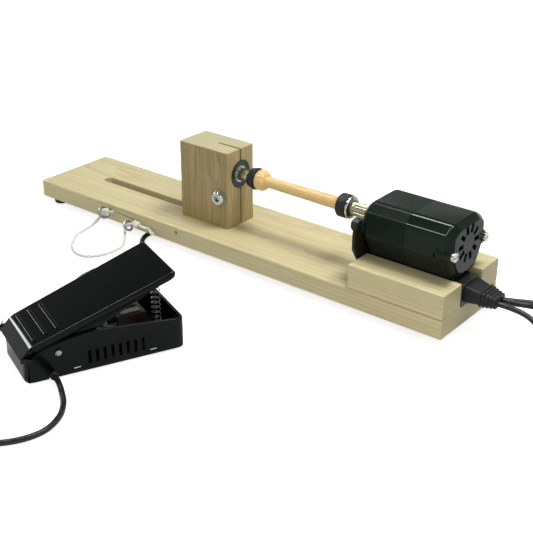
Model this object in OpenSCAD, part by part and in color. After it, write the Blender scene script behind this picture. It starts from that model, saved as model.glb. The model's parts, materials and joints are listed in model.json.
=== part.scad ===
// Electric bobbin winder for weavers, with its foot pedal and leads.
// A motor at the right end turns the bobbin; a tail block slides along a slot and holds its other end.
// Millimetres. X runs along the board to the motor, Y goes to the back, Z is up, floor at Z = 0.
// Pieces of the winder are drawn from the board's left front lower corner, those of the pedal
// from the middle of its heel, and both are then set in their places.

/* [Board] */
// Length of the board
board_l = 516; // [500:1:530]
// Depth of the board
board_w = 98; // [96:1:104]
// Thickness of the board, a planed three-quarter inch plank
board_t = 19; // [18:0.5:22]
// Height of the rubber feet under the board
foot_h = 8; // [7.5:0.5:12]
// Diameter of a rubber foot where it meets the board
foot_d = 17; // [14:0.5:20]
// Width of the slot that the tail block slides along
slot_w = 11; // [9:0.5:12]
// Left end of the slot
slot_x = 52; // [48:1:56]
// Diameter of the spare pilot hole in the front edge
pilot_d = 3; // [2:0.5:4]
// Depth of the spare pilot hole
pilot_depth = 12; // [8:1:16]

/* [Motor rails] */
// Length of the two rails that cradle the motor
rail_l = 99; // [94:1:104]
// Width of a rail
rail_w = 31; // [29:0.5:31]
// Height of a rail
rail_h = 24; // [22:0.5:24]

/* [Tail block] */
// Left face of the tail block when it holds the bobbin
block_x = 187; // [186:0.5:190]
// Length of the tail block along the board
block_l = 64; // [62:0.5:64]
// Depth of the tail block, front to back
block_w = 40; // [38:0.5:44]
// Height of the tail block
block_h = 81; // [78:0.5:90]
// Height of the bobbin's axis above the underside of the board
axis_z = 73.5; // [73:0.5:75]
// Outer diameter of the spindle bearing, an R8 size
bearing_d = 28.575; // [28:0.005:29]
// Bore of the spindle bearing and diameter of the tail spindle
spindle_d = 12.7; // [12:0.1:13]
// Diameter of the clamp stud and of the pinch screw
stud_d = 8; // [6:0.5:8]

/* [Bobbin and drive] */
// Left end of the bobbin
bobbin_x = 274.1; // [274.1:0.1:274.5]
// Right end of the bobbin
bobbin_end = 374; // [370:1:374]
// Diameter of the bobbin's barrel at its left end
barrel_d = 11; // [10:0.2:12]
// Diameter of the bobbin's barrel at its right end
barrel_end_d = 12.6; // [12:0.2:14]
// Diameter of the bobbin's bore
bobbin_bore = 5; // [4.6:0.1:6]
// Diameter of the fluted drive hub
hub_d = 14.4; // [13:0.2:16]
// Number of flutes in the drive hub
hub_flutes = 8; // [6:1:10]

/* [Motor] */
// Front end of the motor's casing
motor_x = 417; // [416.5:0.5:418]
// Length of the motor's casing
motor_l = 92.5; // [90:0.5:93]
// Length of the front half of the casing
front_l = 45.5; // [44:0.5:47]
// Diameter of the armature
armature_d = 30; // [26:0.5:30]
// Diameter of the motor's shaft
shaft_d = 6; // [5:0.5:6.5]

/* [Leads] */
// Diameter of the mains lead and of the pedal lead
lead_d = 5; // [4.5:0.1:5.2]
// Pitch of the turns in a coil of lead
coil_pitch = 5.6; // [5.6:0.1:6]
// Turns in the coil of the mains lead
mains_turns = 9; // [9:1:9]
// Turns in the coil of the pedal lead
pedal_turns = 2; // [2:1:2]
// Diameter of the white cord at the front edge
eye_cord_d = 3; // [2.4:0.2:3.2]

/* [Pedal] */
// Length of the pedal's base
pedal_l = 140; // [136:1:144]
// Width of the pedal at its heel
heel_w = 62; // [60:1:64]
// Width of the pedal at its toe
toe_w = 71; // [69:1:73]
// Thickness of the pedal's walls
wall = 2.5; // [2:0.25:2.75]
// Slope of the treadle at rest
treadle_slope = 17.9; // [17:0.1:18.5]
// Diameter of the hinge pin
hinge_d = 4.4; // [4:0.1:5]
// Number of vent slots in each side of the pedal
vents = 8; // [6:1:9]

/* [Hidden] */
$fn = 64;
round_fn = 32;

// Colours of the materials
beech = "#CDBF97";
bobbin_wood = "#E8C48A";
rubber = "#1B1C1B";
black_paint = "#181C1A";
black_plastic = "#1A1F1D";
steel = "#B9BBB5";
bright_steel = "#D5D6CF";
black_oxide = "#2A2C2A";
brass = "#C8A04A";
bronze = "#A9814B";
copper = "#B4673A";
carbon = "#303030";
phenolic = "#4A2620";
lead_black = "#202321";
cord_white = "#E6E4D8";

// Small gap that separates a moving piece from what it runs on
running = 0.05;
// Small amount by which a cutting shape passes a face
past = 1;

// Places along the board
relief_l = 30;
board_at = [-(board_l + relief_l)/2, 82, foot_h];
mid_y = board_w/2;
top_z = board_t;
edge_r = 1.5;
feet = [[14, 14], [14, 84], [board_l - 26, 20], [board_l - 26, 78]];
screw_d = 3.5;
rail_x = board_l - rail_l;
rail_screw_x = [rail_x + 18, rail_x + 53];
channel_w = 29;
channel_h = 9;
slot_end = block_x + 44;
pilot_at = [205, 12.8];
eye_1 = [108, -9, 11.5];
eye_2 = [147, -11, 8];
eye_wire = 2.4;
eye_tilt = 35;

// Tail block and its fittings
block_y = mid_y - block_w/2;
block_end = block_x + block_l;
kerf_w = 2;
kerf_l = 29;
bearing_w = 7.94;
pinch_at = [block_end - 11, 51];
stud_x = block_x + 18;
spindle_hole = 16;
ball_d = 3.97;
ball_circle = 20.5;
race_gap = 0.06;
spindle_end = 265;
ring_end = 274;
tail_pin_d = 4.8;
knob_r = 13.8;

// Drive train
drive_ring_l = 11;
washer_l = 4;
hub_x = bobbin_end + drive_ring_l + washer_l;
hub_end = 412;
nose_d = 8;

// Motor
plate_x = 413;
plate_t = 3;
motor_end = motor_x + motor_l;
seam_x = motor_x + front_l;
case_t = 2.5;
thumb_y = 25.5;
thumb_z = -2;
case_screw_y = 27;
case_screw_z = -3.5;
stator_x = 440;
stator_l = 30;
field_y = 20;
field_w = 5.4;
commutator_x = 479;
commutator_l = 12;
commutator_r = 9;
socket_x = 455;
block_plug_x = 478;

// Half of the casing's outline seen from its end, from the top down, about the shaft
casing_half = [[19, 22], [31, 14.5], [31, -7.5], [25, -19.5], [16.7, -32.5]];
// Half of the bracket plate's outline, from the top down, about the shaft
plate_half = [[33, 4.5], [38, -3.5], [38, -21.5], [18, -54.5]];

// Pedal
pedal_at_xy = [-16, -169.5];
pedal_turn = 67.2;
pedal_clear = 1.5;
corner_r = 8;
hinge = [28, 25];
crease = [7.5, 34.6];
lip = 5.5;
treadle_l = 132.3;
skirt_in = 3;
gland_u = 23;
gland_h = 4.2;
gland_d = 8;
gland_in = 26;
gland_out = 35;
plunger_u = 60;
spring_u = 128;
// Height of the base's rim along the pedal, from heel to toe
rim = [[0, 21.5], [3, 22], [12, 28.5], [20, 31.5], [28, 33.5], [45, 36.2], [60, 37.3],
       [71, 36.5], [pedal_l, 29.5]];
pedal_posts = [[16, 19], [16, -19], [122, 25], [122, -25]];

// Routes of the leads and of the white cord, on the floor and through the air
function pedal_point(u, n, h) = [
    pedal_at_xy[0] + u*cos(pedal_turn) - n*sin(pedal_turn),
    pedal_at_xy[1] + u*sin(pedal_turn) + n*cos(pedal_turn),
    h
];
exit_z = 37;
coil_z = 3.6;
mains_centre = [377, 122];
mains_r = 41;
pedal_coil_centre = [-56, -15];
pedal_coil_r = 30;
mains_route = [
    [273, 123.5, exit_z], [285, 123.4, 37], [297, 122.4, 36.4], [308.5, 120, 33.8],
    [319, 114.3, 27.6], [328, 105, 18.7], [337.3, 93.6, 10.4], [348, 84.8, 5.6], [360, 81, 3.8],
    [372, 81, coil_z]
];
mains_tail = [
    [382, 81, coil_z + coil_pitch], [393, 81.5, 8.4], [405, 84, 5.5], [417, 90, 3.2],
    [426.6, 99, 3.4], [432.2, 109.3, 5.8], [434, 119, 7.7], [434, 128, 8.1]
];
pedal_route = [
    [273, 132.5, exit_z], [284.5, 133.4, 37], [295.5, 138.4, 36.4], [304.6, 147.6, 33],
    [311.4, 159.4, 26], [315, 173, 17], [314.5, 187, 9], [307, 199.5, 4], [294, 206.5, 2.7],
    [280, 207.5, 2.6], [267, 203.8, 2.6], [250, 195.5, 2.6], [225, 186, 2.6], [195, 176, 2.6],
    [165, 165.5, 2.6], [135, 154, 2.6], [105, 143, 2.6], [75, 132, 2.6], [45, 121.5, 2.6],
    [15, 115.5, 2.6], [-15, 113.5, 2.6], [-45, 113.5, 2.6], [-72, 115, 2.6],
    [-91.5, 114.3, 2.6], [-104.6, 110.4, 2.6], [-113.2, 101.2, 2.6], [-115.8, 89.1, 2.6],
    [-111.6, 77.5, 2.6], [-103.6, 67.4, 2.6], [-96.2, 57.4, 2.6], [-91.4, 46, 2.6],
    [-88.8, 34.5, 2.6], [-87, 18, 2.9], [-86, 3, 3.4], [-86, -10, coil_z]
];
pedal_return = [
    [-86, -20, coil_z + coil_pitch], [-86, -31, 8.6], [-85, -43, 6], [-82, -58, 3.4],
    [-78, -77, 2.6], [-75, -100, 2.6], [-76, -124, 2.6], [-83, -148, 2.6], [-91, -174, 2.6],
    [-93, -202, 2.6], [-84, -230, 2.6], [-63, -254, 2.6], [-34, -268, 2.6], [-4, -272, 2.6],
    [25, -268, 2.6], [50, -256, 2.6], [67, -238, 2.6], [74, -217, 2.6], [69, -197, 2.6],
    [57.5, -182, 2.6], [43.5, -171.5, 3.4], pedal_point(gland_u, -43, gland_h),
    pedal_point(gland_u, -gland_out, gland_h)
];
eye_route = [
    [-156.5, 73, 23.3], [-161, 73, 22], [-165, 73, 19.5], [-168.5, 72, 15.5],
    [-171, 69, 10.5], [-174, 63.5, 5.5], [-177, 55, 2.4], [-176, 45, 1.7], [-170, 35, 1.7], [-162.5, 25.5, 1.7], [-153.5, 17, 1.7],
    [-143.5, 12, 1.7], [-133.5, 11, 1.7], [-124.8, 15.6, 1.7], [-118.6, 24.7, 1.7],
    [-115.8, 36, 1.7], [-116.2, 47.5, 1.7], [-119.2, 57, 2.3], [-124, 63.6, 5], [-127.9, 67.6, 9.4],
    [-128.9, 70.1, 13.6], [-126.6, 71.6, 16.8], [-123, 73.4, 18], [-119.6, 75.8, 17.6],
    [-115.4, 77.6, 16.3], [-110, 78.6, 15.2], [-104, 79, 16]
];
eye_knots = [1, 23];
plug_at = [434, 128, 8.1];
plug_neck = 16;
plug_l = 27;

// Unit vector along v
function unit(v) = v/norm(v);
// A list of points from its last to its first
function reversed(points) = [for (i = [len(points) - 1 : -1 : 0]) points[i]];
// A half outline, completed by its mirror image
function whole(half) = concat(half, [for (p = reversed(half)) [-p[0], p[1]]]);
// A clockwise outline moved inwards by d
function inset(points, d) = let (n = len(points)) [
    for (i = [0 : n - 1])
        let (
            a = unit(points[i] - points[(i + n - 1) % n]),
            b = unit(points[(i + 1) % n] - points[i]),
            na = [a[1], -a[0]],
            nb = [b[1], -b[0]]
        )
        points[i] + (na + nb)*d/(1 + na*nb)
];
// An outline whose corners are rounded over a length of cut along each side
function softened(points, cut, steps = 4) = let (n = len(points)) [
    for (i = [0 : n - 1])
        let (
            p = points[i],
            a = p + unit(points[(i + n - 1) % n] - p)*cut,
            b = p + unit(points[(i + 1) % n] - p)*cut
        )
        for (k = [0 : steps]) let (t = k/steps) (1 - t)*(1 - t)*a + 2*t*(1 - t)*p + t*t*b
];

// Point on a Bezier curve
function bezier(a, b, c, d, t) =
    pow(1 - t, 3)*a + 3*t*pow(1 - t, 2)*b + 3*t*t*(1 - t)*c + pow(t, 3)*d;
// Handle of a smooth route at its point i
function handle(route, i) = let (
    last = len(route) - 1,
    before = i > 0 ? route[i - 1] : 2*route[0] - route[1],
    after = i < last ? route[i + 1] : 2*route[last] - route[last - 1]
) (after - before)/6;
// Points of the smooth curve through a route
function smooth(route, steps) = [
    for (i = [0 : len(route) - 2], k = [0 : steps - 1])
        bezier(route[i], route[i] + handle(route, i), route[i + 1] - handle(route, i + 1),
               route[i + 1], k/steps),
    route[len(route) - 1]
];
function path_length(path) = len(path) < 2 ? 0 :
    [for (i = [1 : len(path) - 1]) norm(path[i] - path[i - 1])]*[for (i = [1 : len(path) - 1]) 1];

// Ease from 0 to 1 with level ends
function ease(k) = let (c = min(max(k, 0), 1)) c*c*(3 - 2*c);
// Centre line of a coil in two layers: it spirals in, climbs a layer where it turns, and spirals out
function coil_path(centre, r_out, turns, start) = let (
    half = turns*180,
    turn_point = function (t)
        let (r = r_out - coil_pitch*(t <= half ? t : 2*half - t)/360)
        [centre[0] + r*cos(start + t), centre[1] + r*sin(start + t),
         coil_z + coil_pitch*ease((t - half + 90)/180)],
    first = turn_point(0),
    last = turn_point(2*half),
    way = [-sin(start), cos(start), 0]
) concat(
    [first - lead_d*way],
    [for (i = [0 : turns*24]) turn_point(i*15)],
    [last + lead_d*way]
);
// Least distance between turns of a coil, less the lead's own diameter
function coil_gap(path) = min([
    for (i = [1 : len(path) - 14], j = [i + 12 : len(path) - 2]) norm(path[i] - path[j])
]) - lead_d;

// Square to the run of a path at its point i
function run_of(path, i) = let (last = len(path) - 1)
    unit(path[min(i + 1, last)] - path[max(i - 1, 0)]);
function ring_of(path, i, r, sides, first, final) = let (
    run = i == 0 ? unit(first) : i == len(path) - 1 ? unit(final) : run_of(path, i),
    side = unit(cross([0, 0, 1], run)),
    up = cross(run, side)
) [for (k = [0 : sides - 1]) let (a = (k + 0.5)*360/sides) path[i] + r*(cos(a)*side + sin(a)*up)];

// One unbroken tube along a path, of radius r or of one radius for each point;
// first and final are its directions at its ends
module tube(path, r, sides, first, final) {
    last = len(path) - 1;
    radii = is_list(r) ? r : [for (p = path) r];
    points = [for (i = [0 : last]) each ring_of(path, i, radii[i], sides, first, final)];
    polyhedron(points, concat(
        [for (k = [1 : sides - 2]) [0, k, k + 1]],
        [for (k = [1 : sides - 2]) [last*sides, last*sides + k + 1, last*sides + k]],
        [for (i = [0 : last - 1], k = [0 : sides - 1])
            [i*sides + k, (i + 1)*sides + k, (i + 1)*sides + (k + 1) % sides]],
        [for (i = [0 : last - 1], k = [0 : sides - 1])
            [i*sides + k, (i + 1)*sides + (k + 1) % sides, i*sides + (k + 1) % sides]]
    ));
}

// A free stretch of lead or cord along a route
module stretch(route, d, sides, steps) {
    last = len(route) - 1;
    tube(smooth(route, steps), d/2, sides, route[1] - route[0], route[last] - route[last - 1]);
}

module coil(centre, r_out, turns, start) {
    way = [-sin(start), cos(start), 0];
    tube(coil_path(centre, r_out, turns, start), lead_d/2, 6, way, way);
}

// Places a piece drawn from the board's corner
module winder() { translate(board_at) children(); }

// Places a piece drawn from the pedal's heel
module on_pedal() {
    translate([pedal_at_xy[0], pedal_at_xy[1], 0]) rotate([0, 0, pedal_turn]) children();
}

// Turns a shape that is extruded along Z so that it runs along X from x, about the shaft's axis
module along_x(x) {
    translate([x, mid_y, axis_z]) rotate([90, 0, 90]) children();
}

// A round bar along X, centred on the shaft's axis
module shaft(x, end, d) { along_x(x) cylinder(h = end - x, d = d); }

// A rounded rectangle from its corner at the origin
module round_rect(size, r) {
    translate([r, 0]) square([size[0] - 2*r, size[1]]);
    translate([0, r]) square([size[0], size[1] - 2*r]);
    for (x = [r, size[0] - r], y = [r, size[1] - r]) translate([x, y]) circle(r = r);
}

// A bar along X with rounded long edges
module bar(at, size, r) {
    translate(at) rotate([90, 0, 90]) linear_extrude(size[0]) round_rect([size[1], size[2]], r);
}

// A slot with round ends, cut down from z
module slot_cut(x, end, w, z, h) {
    for (c = [x + w/2, end - w/2]) translate([c, mid_y, z]) cylinder(h = h, d = w);
    translate([x + w/2, mid_y - w/2, z]) cube([end - x - w, w, h]);
}

// A pan head screw pointing up from z
module pan_screw(head_d, head_h, d, l) {
    translate([0, 0, -head_h]) cylinder(h = head_h, d = head_d);
    cylinder(h = l, d = d);
}

module base_board() {
    color(beech) winder() difference() {
        bar([0, 0, 0], [board_l, board_w, board_t], edge_r);
        slot_cut(slot_x, slot_end, slot_w, -past, board_t + 2*past);
        slot_cut(slot_x - 12, slot_end + 15, channel_w, -past, channel_h + past);
        for (f = feet) translate([f[0], f[1], -past]) cylinder(h = 12 + past, d = screw_d);
        for (x = rail_screw_x, y = [rail_w/2, board_w - rail_w/2]) translate([x, y, 0]) {
            translate([0, 0, -past]) cylinder(h = board_t + 2*past, d = 4);
            cylinder(h = 2.5, d1 = 8.5, d2 = 4);
        }
        for (y = [mid_y - 10, mid_y + 10]) translate([rail_x + 19, y, 8])
            cylinder(h = board_t, d = screw_d);
        translate([pilot_at[0], 0, pilot_at[1]]) rotate([-90, 0, 0])
            translate([0, 0, -past]) cylinder(h = pilot_depth + past, d = pilot_d);
        for (e = [eye_1, eye_2]) translate([e[0], 0, e[2]]) rotate([-90, 0, 0])
            translate([0, 0, -past]) cylinder(h = 13 + past, d = eye_wire);
    }
}

module rubber_feet() {
    color(rubber) winder() for (f = feet) translate([f[0], f[1], -foot_h]) difference() {
        union() {
            translate([0, 0, 1]) cylinder(h = foot_h - 1, d1 = foot_d - 1.5, d2 = foot_d);
            cylinder(h = 1, d1 = foot_d - 3.5, d2 = foot_d - 1.5);
        }
        translate([0, 0, -past]) cylinder(h = 4.5 + past, d = 9);
        cylinder(h = foot_h + past, d = screw_d);
    }
}

module wood_screws() {
    color(steel) winder() {
        for (f = feet) translate([f[0], f[1], 4.5 - foot_h]) pan_screw(7.6, 2.4, screw_d, 15);
        for (y = [mid_y - 10, mid_y + 10]) translate([rail_x + 19, y, top_z + plate_t])
            rotate([180, 0, 0]) pan_screw(7.6, 2.4, screw_d, 13);
    }
}

module rail(y) {
    color(beech) winder() difference() {
        bar([rail_x, y, top_z], [rail_l, rail_w, rail_h], edge_r);
        for (x = rail_screw_x) translate([x, y + rail_w/2, top_z - past])
            cylinder(h = 17 + past, d = 4);
    }
}

module rail_front() { rail(0); }

module rail_rear() { rail(board_w - rail_w); }

module rail_screws() {
    color(steel) winder() for (x = rail_screw_x, y = [rail_w/2, board_w - rail_w/2])
        translate([x, y, 0]) {
            cylinder(h = 2.5, d1 = 8.5, d2 = 4);
            cylinder(h = 34, d = 4);
        }
}

// One eye screw: a ring, a neck and a shank in the wood
module eye(at, ring_d) {
    r = (ring_d - eye_wire)/2;
    translate(at) rotate([0, -eye_tilt, 0]) rotate([0, 90, 0]) rotate_extrude()
        translate([r, 0]) circle(d = eye_wire, $fn = round_fn);
    translate([at[0], at[1] + r, at[2]]) rotate([-90, 0, 0])
        cylinder(h = 12 - at[1] - r, d = eye_wire, $fn = round_fn);
}

module eye_screws() {
    color(steel) winder() {
        eye(eye_1, 14);
        eye(eye_2, 12.5);
    }
}

// The white cord; it swells to twice its thickness at its knots
module eye_cord() {
    steps = 2;
    last = len(eye_route) - 1;
    path = smooth(eye_route, steps);
    radii = [for (i = [0 : last*steps])
        eye_cord_d/2*(1 + max([for (k = eye_knots) 1.1*max(0, 1 - abs(i - k*steps)/steps)]))];
    color(cord_white) tube(path, radii, 8, eye_route[1] - eye_route[0],
                           eye_route[last] - eye_route[last - 1]);
}

module motor_bracket() {
    color(black_paint) winder() {
        difference() {
            along_x(plate_x) linear_extrude(plate_t) polygon(softened(whole(plate_half), 2));
            shaft(plate_x - past, plate_x + plate_t + past, 14);
            for (s = [-1, 1]) along_x(plate_x - past) translate([s*thumb_y, thumb_z])
                cylinder(h = plate_t + 2*past, d = 5);
        }
        difference() {
            translate([plate_x, mid_y - 16, top_z]) cube([33, 32, plate_t]);
            for (y = [mid_y - 10, mid_y + 10]) translate([rail_x + 19, y, top_z - past])
                cylinder(h = plate_t + 2*past, d = screw_d);
        }
    }
}

module motor_thumb_screws() {
    color(black_oxide) winder() for (s = [-1, 1]) along_x(plate_x) translate([s*thumb_y, thumb_z]) {
        translate([0, 0, -6]) cylinder(h = 6, d = 13);
        translate([0, 0, -8]) cylinder(h = 2, d1 = 9, d2 = 13);
        cylinder(h = motor_x + 5 - plate_x, d = 5);
    }
}

// Outline of the motor's casing, moved inwards by d
module casing_outline(d) { polygon(softened(inset(whole(casing_half), d), 3)); }

// The casing's outline as a solid from x to end
module casing_slice(x, end, d) {
    along_x(x) linear_extrude(end - x) casing_outline(d);
}

// Holes for the two long case screws
module case_screw_holes(x, end) {
    for (s = [-1, 1]) along_x(x) translate([s*case_screw_y, case_screw_z])
        cylinder(h = end - x, d = 4);
}

// Posts for the two long case screws
module case_screw_posts(x, end, d) {
    for (s = [-1, 1]) along_x(x) translate([s*case_screw_y, case_screw_z])
        cylinder(h = end - x, d = d);
}

module motor_front_shell() {
    color(black_plastic) winder() difference() {
        union() {
            hull() {
                casing_slice(motor_x, motor_x + 0.1, 4.5);
                casing_slice(motor_x + 4.9, motor_x + 5, 0);
            }
            difference() {
                casing_slice(motor_x + 5, seam_x, 0);
                casing_slice(motor_x + 5, seam_x + past, case_t);
            }
            shaft(plate_x + plate_t, motor_x + past, 26);
            for (s = [-1, 1]) along_x(plate_x + plate_t) translate([s*thumb_y, thumb_z])
                cylinder(h = motor_x + 4 - plate_x - plate_t, d = 13);
            intersection() {
                case_screw_posts(motor_x + 5, seam_x, 8);
                casing_slice(motor_x + 5, seam_x, 1);
            }
        }
        shaft(plate_x + plate_t - past, motor_x + 5 + past, 12);
        for (s = [-1, 1]) along_x(plate_x) translate([s*thumb_y, thumb_z])
            cylinder(h = motor_x + 5 + past - plate_x, d = 5);
        case_screw_holes(motor_x + 12, seam_x + past);
    }
}

module motor_rear_shell() {
    color(black_plastic) winder() difference() {
        union() {
            hull() {
                casing_slice(motor_end - 6, motor_end - 5.9, 0);
                casing_slice(motor_end - 0.1, motor_end, 5);
            }
            casing_slice(seam_x, motor_end - 6, 0);
            case_screw_posts(motor_end - 16, motor_end, 11);
        }
        difference() {
            casing_slice(seam_x - past, motor_end - 6, case_t);
            intersection() {
                case_screw_posts(seam_x, motor_end, 8);
                casing_slice(seam_x, motor_end, 1);
            }
            shaft(motor_end - 11, motor_end, 17);
        }
        difference() {
            shaft(motor_end - 6 - past, motor_end - 3, 36);
            shaft(motor_end - 6 - 2*past, motor_end, 17);
        }
        shaft(motor_end - 11 - past, motor_end - 3, 12);
        for (a = [0 : 36 : 359]) along_x(motor_end - 4) rotate(a)
            translate([9.5, -2]) cube([8, 4, 5]);
        case_screw_holes(seam_x - past, motor_end + past);
    }
}

module motor_case_screws() {
    color(bright_steel) winder() for (s = [-1, 1])
        along_x(motor_end) translate([s*case_screw_y, case_screw_z]) difference() {
            union() {
                cylinder(h = 3, d = 9);
                translate([0, 0, motor_x + 12 - motor_end])
                    cylinder(h = motor_end - motor_x - 12, d = 4);
            }
            translate([-5, -0.6, 2]) cube([10, 1.2, 2]);
        }
}

// Slots of the stator that hold its coils
module coil_slots(x, l) {
    for (s = [-1, 1], t = [-1, 1])
        translate([x, mid_y + s*field_y - field_w/2, axis_z + t*11.5 - 2]) cube([l, field_w, 4]);
}

module stator_core() {
    color(steel) winder() difference() {
        intersection() {
            casing_slice(stator_x, stator_x + stator_l, case_t);
            translate([stator_x, 0, axis_z - 17.5]) cube([stator_l, board_w, 40]);
        }
        shaft(stator_x - past, stator_x + stator_l + past, armature_d + 1);
        coil_slots(stator_x - past, stator_l + 2*past);
        case_screw_posts(stator_x - past, stator_x + stator_l + past, 8);
    }
}

module stator_coils() {
    color(copper) winder() for (s = [-1, 1])
        translate([stator_x - 5, mid_y + s*field_y - field_w/2, axis_z]) difference() {
            translate([0, 0, -13.5]) cube([stator_l + 10, field_w, 27]);
            translate([5, -past, -9.5]) cube([stator_l, field_w + 2*past, 19]);
        }
}

module bushing(x, l) {
    difference() {
        shaft(x, x + l, 12);
        shaft(x - past, x + l + past, shaft_d + 2*running);
    }
}

module shaft_bushings() {
    color(bronze) winder() {
        bushing(motor_x, 5.5);
        bushing(motor_end - 11, 7.5);
    }
}

module brush_holders() {
    color(carbon) winder() for (s = [-1, 1]) translate([commutator_x, mid_y, axis_z])
        scale([1, s, 1]) difference() {
            union() {
                translate([1.5, 11, -4.5]) cube([9, 11.5, 9]);
                translate([10.5, 13.5, -3]) cube([motor_end - 6 - commutator_x - 10.5, 6, 6]);
            }
            translate([3.5, 10, -3]) cube([5, 12, 6]);
        }
}

module brushes() {
    color(carbon) winder() for (s = [-1, 1]) translate([commutator_x, mid_y, axis_z])
        scale([1, s, 1]) difference() {
            translate([3.5, 7, -3]) cube([5, 14, 6]);
            translate([-past, 0, 0]) rotate([0, 90, 0])
                cylinder(h = commutator_l + 2*past, r = commutator_r + running);
        }
}

module motor_socket() {
    color(black_plastic) winder() translate([socket_x, mid_y - 13, top_z + 4]) difference() {
        cube([block_plug_x - socket_x, 26, 18]);
        for (y = [6, 13, 20]) translate([block_plug_x - socket_x - 12, y, 9]) rotate([0, 90, 0])
            cylinder(h = 13, d = 4);
    }
}

module plug_block() {
    color(black_plastic) winder() {
        bar([block_plug_x, rail_w + 0.5, top_z + running],
            [board_l - block_plug_x, board_w - 2*rail_w - 1, 21.4], 8);
        bar([block_plug_x, rail_w + 0.5, top_z + running],
            [board_l - block_plug_x, board_w - 2*rail_w - 1, 12], 1.5);
        for (y = [6, 13, 20]) translate([block_plug_x, mid_y - 13 + y, top_z + 13])
            rotate([0, -90, 0]) cylinder(h = 11, d = 4);
    }
}

module plug_relief() {
    ribs = 5;
    color(black_plastic) winder() {
        hull() {
            bar([board_l, 35, 22], [0.5, 28, 16], 4, $fn = round_fn);
            bar([board_l + relief_l - 0.5, 37.5, 25], [0.5, 17, 9], 3, $fn = round_fn);
        }
        for (i = [0 : ribs - 1]) {
            k = i/(ribs - 1);
            bar([board_l + 14.5 + i*3.3, 35 + 1.4*k, 22.3 + 1.7*k],
                [1.7, 25 - 5.8*k, 14.8 - 4*k], 3.5);
        }
    }
}

module mains_lead() {
    color(lead_black) {
        stretch(mains_route, lead_d, 8, 1);
        stretch(mains_tail, lead_d, 8, 1);
    }
}

module mains_coil() {
    color(lead_black) coil(mains_centre, mains_r, mains_turns, 270);
}

// A flat band round both layers of a coil, at the angle given
module tie(centre, angle, r_in, r_out) {
    t = 0.8;
    height = coil_z + coil_pitch + lead_d/2 + 0.4;
    translate([centre[0], centre[1], 0]) rotate([0, 0, angle]) translate([r_in - t, 3.5, 0.1])
        rotate([90, 0, 0]) linear_extrude(7) difference() {
            round_rect([r_out - r_in + 2*t, height + t], 2);
            translate([t, t]) round_rect([r_out - r_in, height - t], 1.4);
        }
}

module mains_tie() { color(rubber) tie(mains_centre, 180, 14.2, 42.6); }

module mains_plug() {
    color(black_plastic) translate(plug_at) {
        rotate([-90, 0, 0]) cylinder(h = plug_neck, d1 = 7, d2 = 11);
        translate([-13, plug_neck + plug_l, -8]) rotate([90, 0, 0]) linear_extrude(plug_l)
            round_rect([26, 16], 5);
    }
}

module plug_blades() {
    color(brass) for (s = [-1, 1])
        translate(plug_at + [s*6.35 - 0.75, plug_neck + plug_l, -3.2]) difference() {
            cube([1.5, 17, 6.4]);
            translate([-past, 13, 3.2]) rotate([0, 90, 0]) cylinder(h = 4, d = 2.6);
        }
}

module pedal_lead() {
    color(lead_black) {
        stretch(pedal_route, lead_d, 8, 1);
        stretch(pedal_return, lead_d, 8, 1);
    }
}

module pedal_coil() {
    color(lead_black) coil(pedal_coil_centre, pedal_coil_r, pedal_turns, 180);
}

module pedal_tie() { color(rubber) tie(pedal_coil_centre, 0, 24.2, 30.2); }

// Outline of the pedal in plan from u to end, moved inwards by d at its sides and ends, clockwise
function side_n(u) = heel_w/2 + (toe_w - heel_w)/2*u/pedal_l;
function plan(u, end, d) = [
    [u + d, side_n(u) - d], [end - d, side_n(end) - d],
    [end - d, d - side_n(end)], [u + d, d - side_n(u)]
];

module plan_solid(u, end, d, z, h, cut) {
    translate([0, 0, z]) linear_extrude(h) polygon(softened(plan(u, end, d), cut, 6));
}

// A side view of the pedal as a solid across its whole width
module side_solid(points, half_w) {
    translate([0, half_w, 0]) rotate([90, 0, 0]) linear_extrude(2*half_w) polygon(points);
}

module pedal_base() {
    color(black_plastic) on_pedal() difference() {
        union() {
            intersection() {
                difference() {
                    plan_solid(0, pedal_l, 0, pedal_clear, 40, corner_r);
                    plan_solid(0, pedal_l, wall, 0, 50, corner_r - 2);
                }
                side_solid(concat([[0, 0]], rim, [[pedal_l, 0]]), 50);
            }
            for (p = pedal_posts) translate([p[0], p[1], pedal_clear + 2]) cylinder(h = 12, d = 8);
        }
        for (p = pedal_posts) translate([p[0], p[1], 0]) cylinder(h = 14, d = 3);
        translate([hinge[0], 50, hinge[1]]) rotate([90, 0, 0]) cylinder(h = 100, d = hinge_d);
        translate([gland_u, -20, gland_h]) rotate([90, 0, 0]) cylinder(h = 20, d = gland_d);
        translate([gland_u - gland_d/2, -40, 0]) cube([gland_d, 20, gland_h]);
        for (i = [0 : vents - 1]) translate([53 + i*6.7, -50, 8]) cube([2.6, 100, 12]);
        for (u = [40, 107], s = [-1, 1]) translate([u, s*40 - 10, 5.5]) cube([7, 20, 1.6]);
    }
}

module pedal_bottom() {
    color(black_oxide) on_pedal() {
        difference() {
            plan_solid(0, pedal_l, wall, pedal_clear, 2, corner_r - 2);
            for (p = pedal_posts) translate([p[0], p[1], 0]) cylinder(h = 10, d = 3);
            translate([gland_u, -20, gland_h]) rotate([90, 0, 0]) cylinder(h = 20, d = gland_d);
        }
        translate([spring_u, 0, pedal_clear + 2]) cylinder(h = 4, d = 12);
    }
}

module pedal_feet() {
    color(rubber) on_pedal() for (p = pedal_posts) translate([p[0], p[1], 0]) difference() {
        cylinder(h = pedal_clear, d = 13);
        translate([0, 0, -past]) cylinder(h = 10, d = 7);
    }
}

module pedal_screws() {
    color(steel) on_pedal() for (p = pedal_posts) translate([p[0], p[1], pedal_clear])
        pan_screw(5.6, 1, 3, 12);
}

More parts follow.
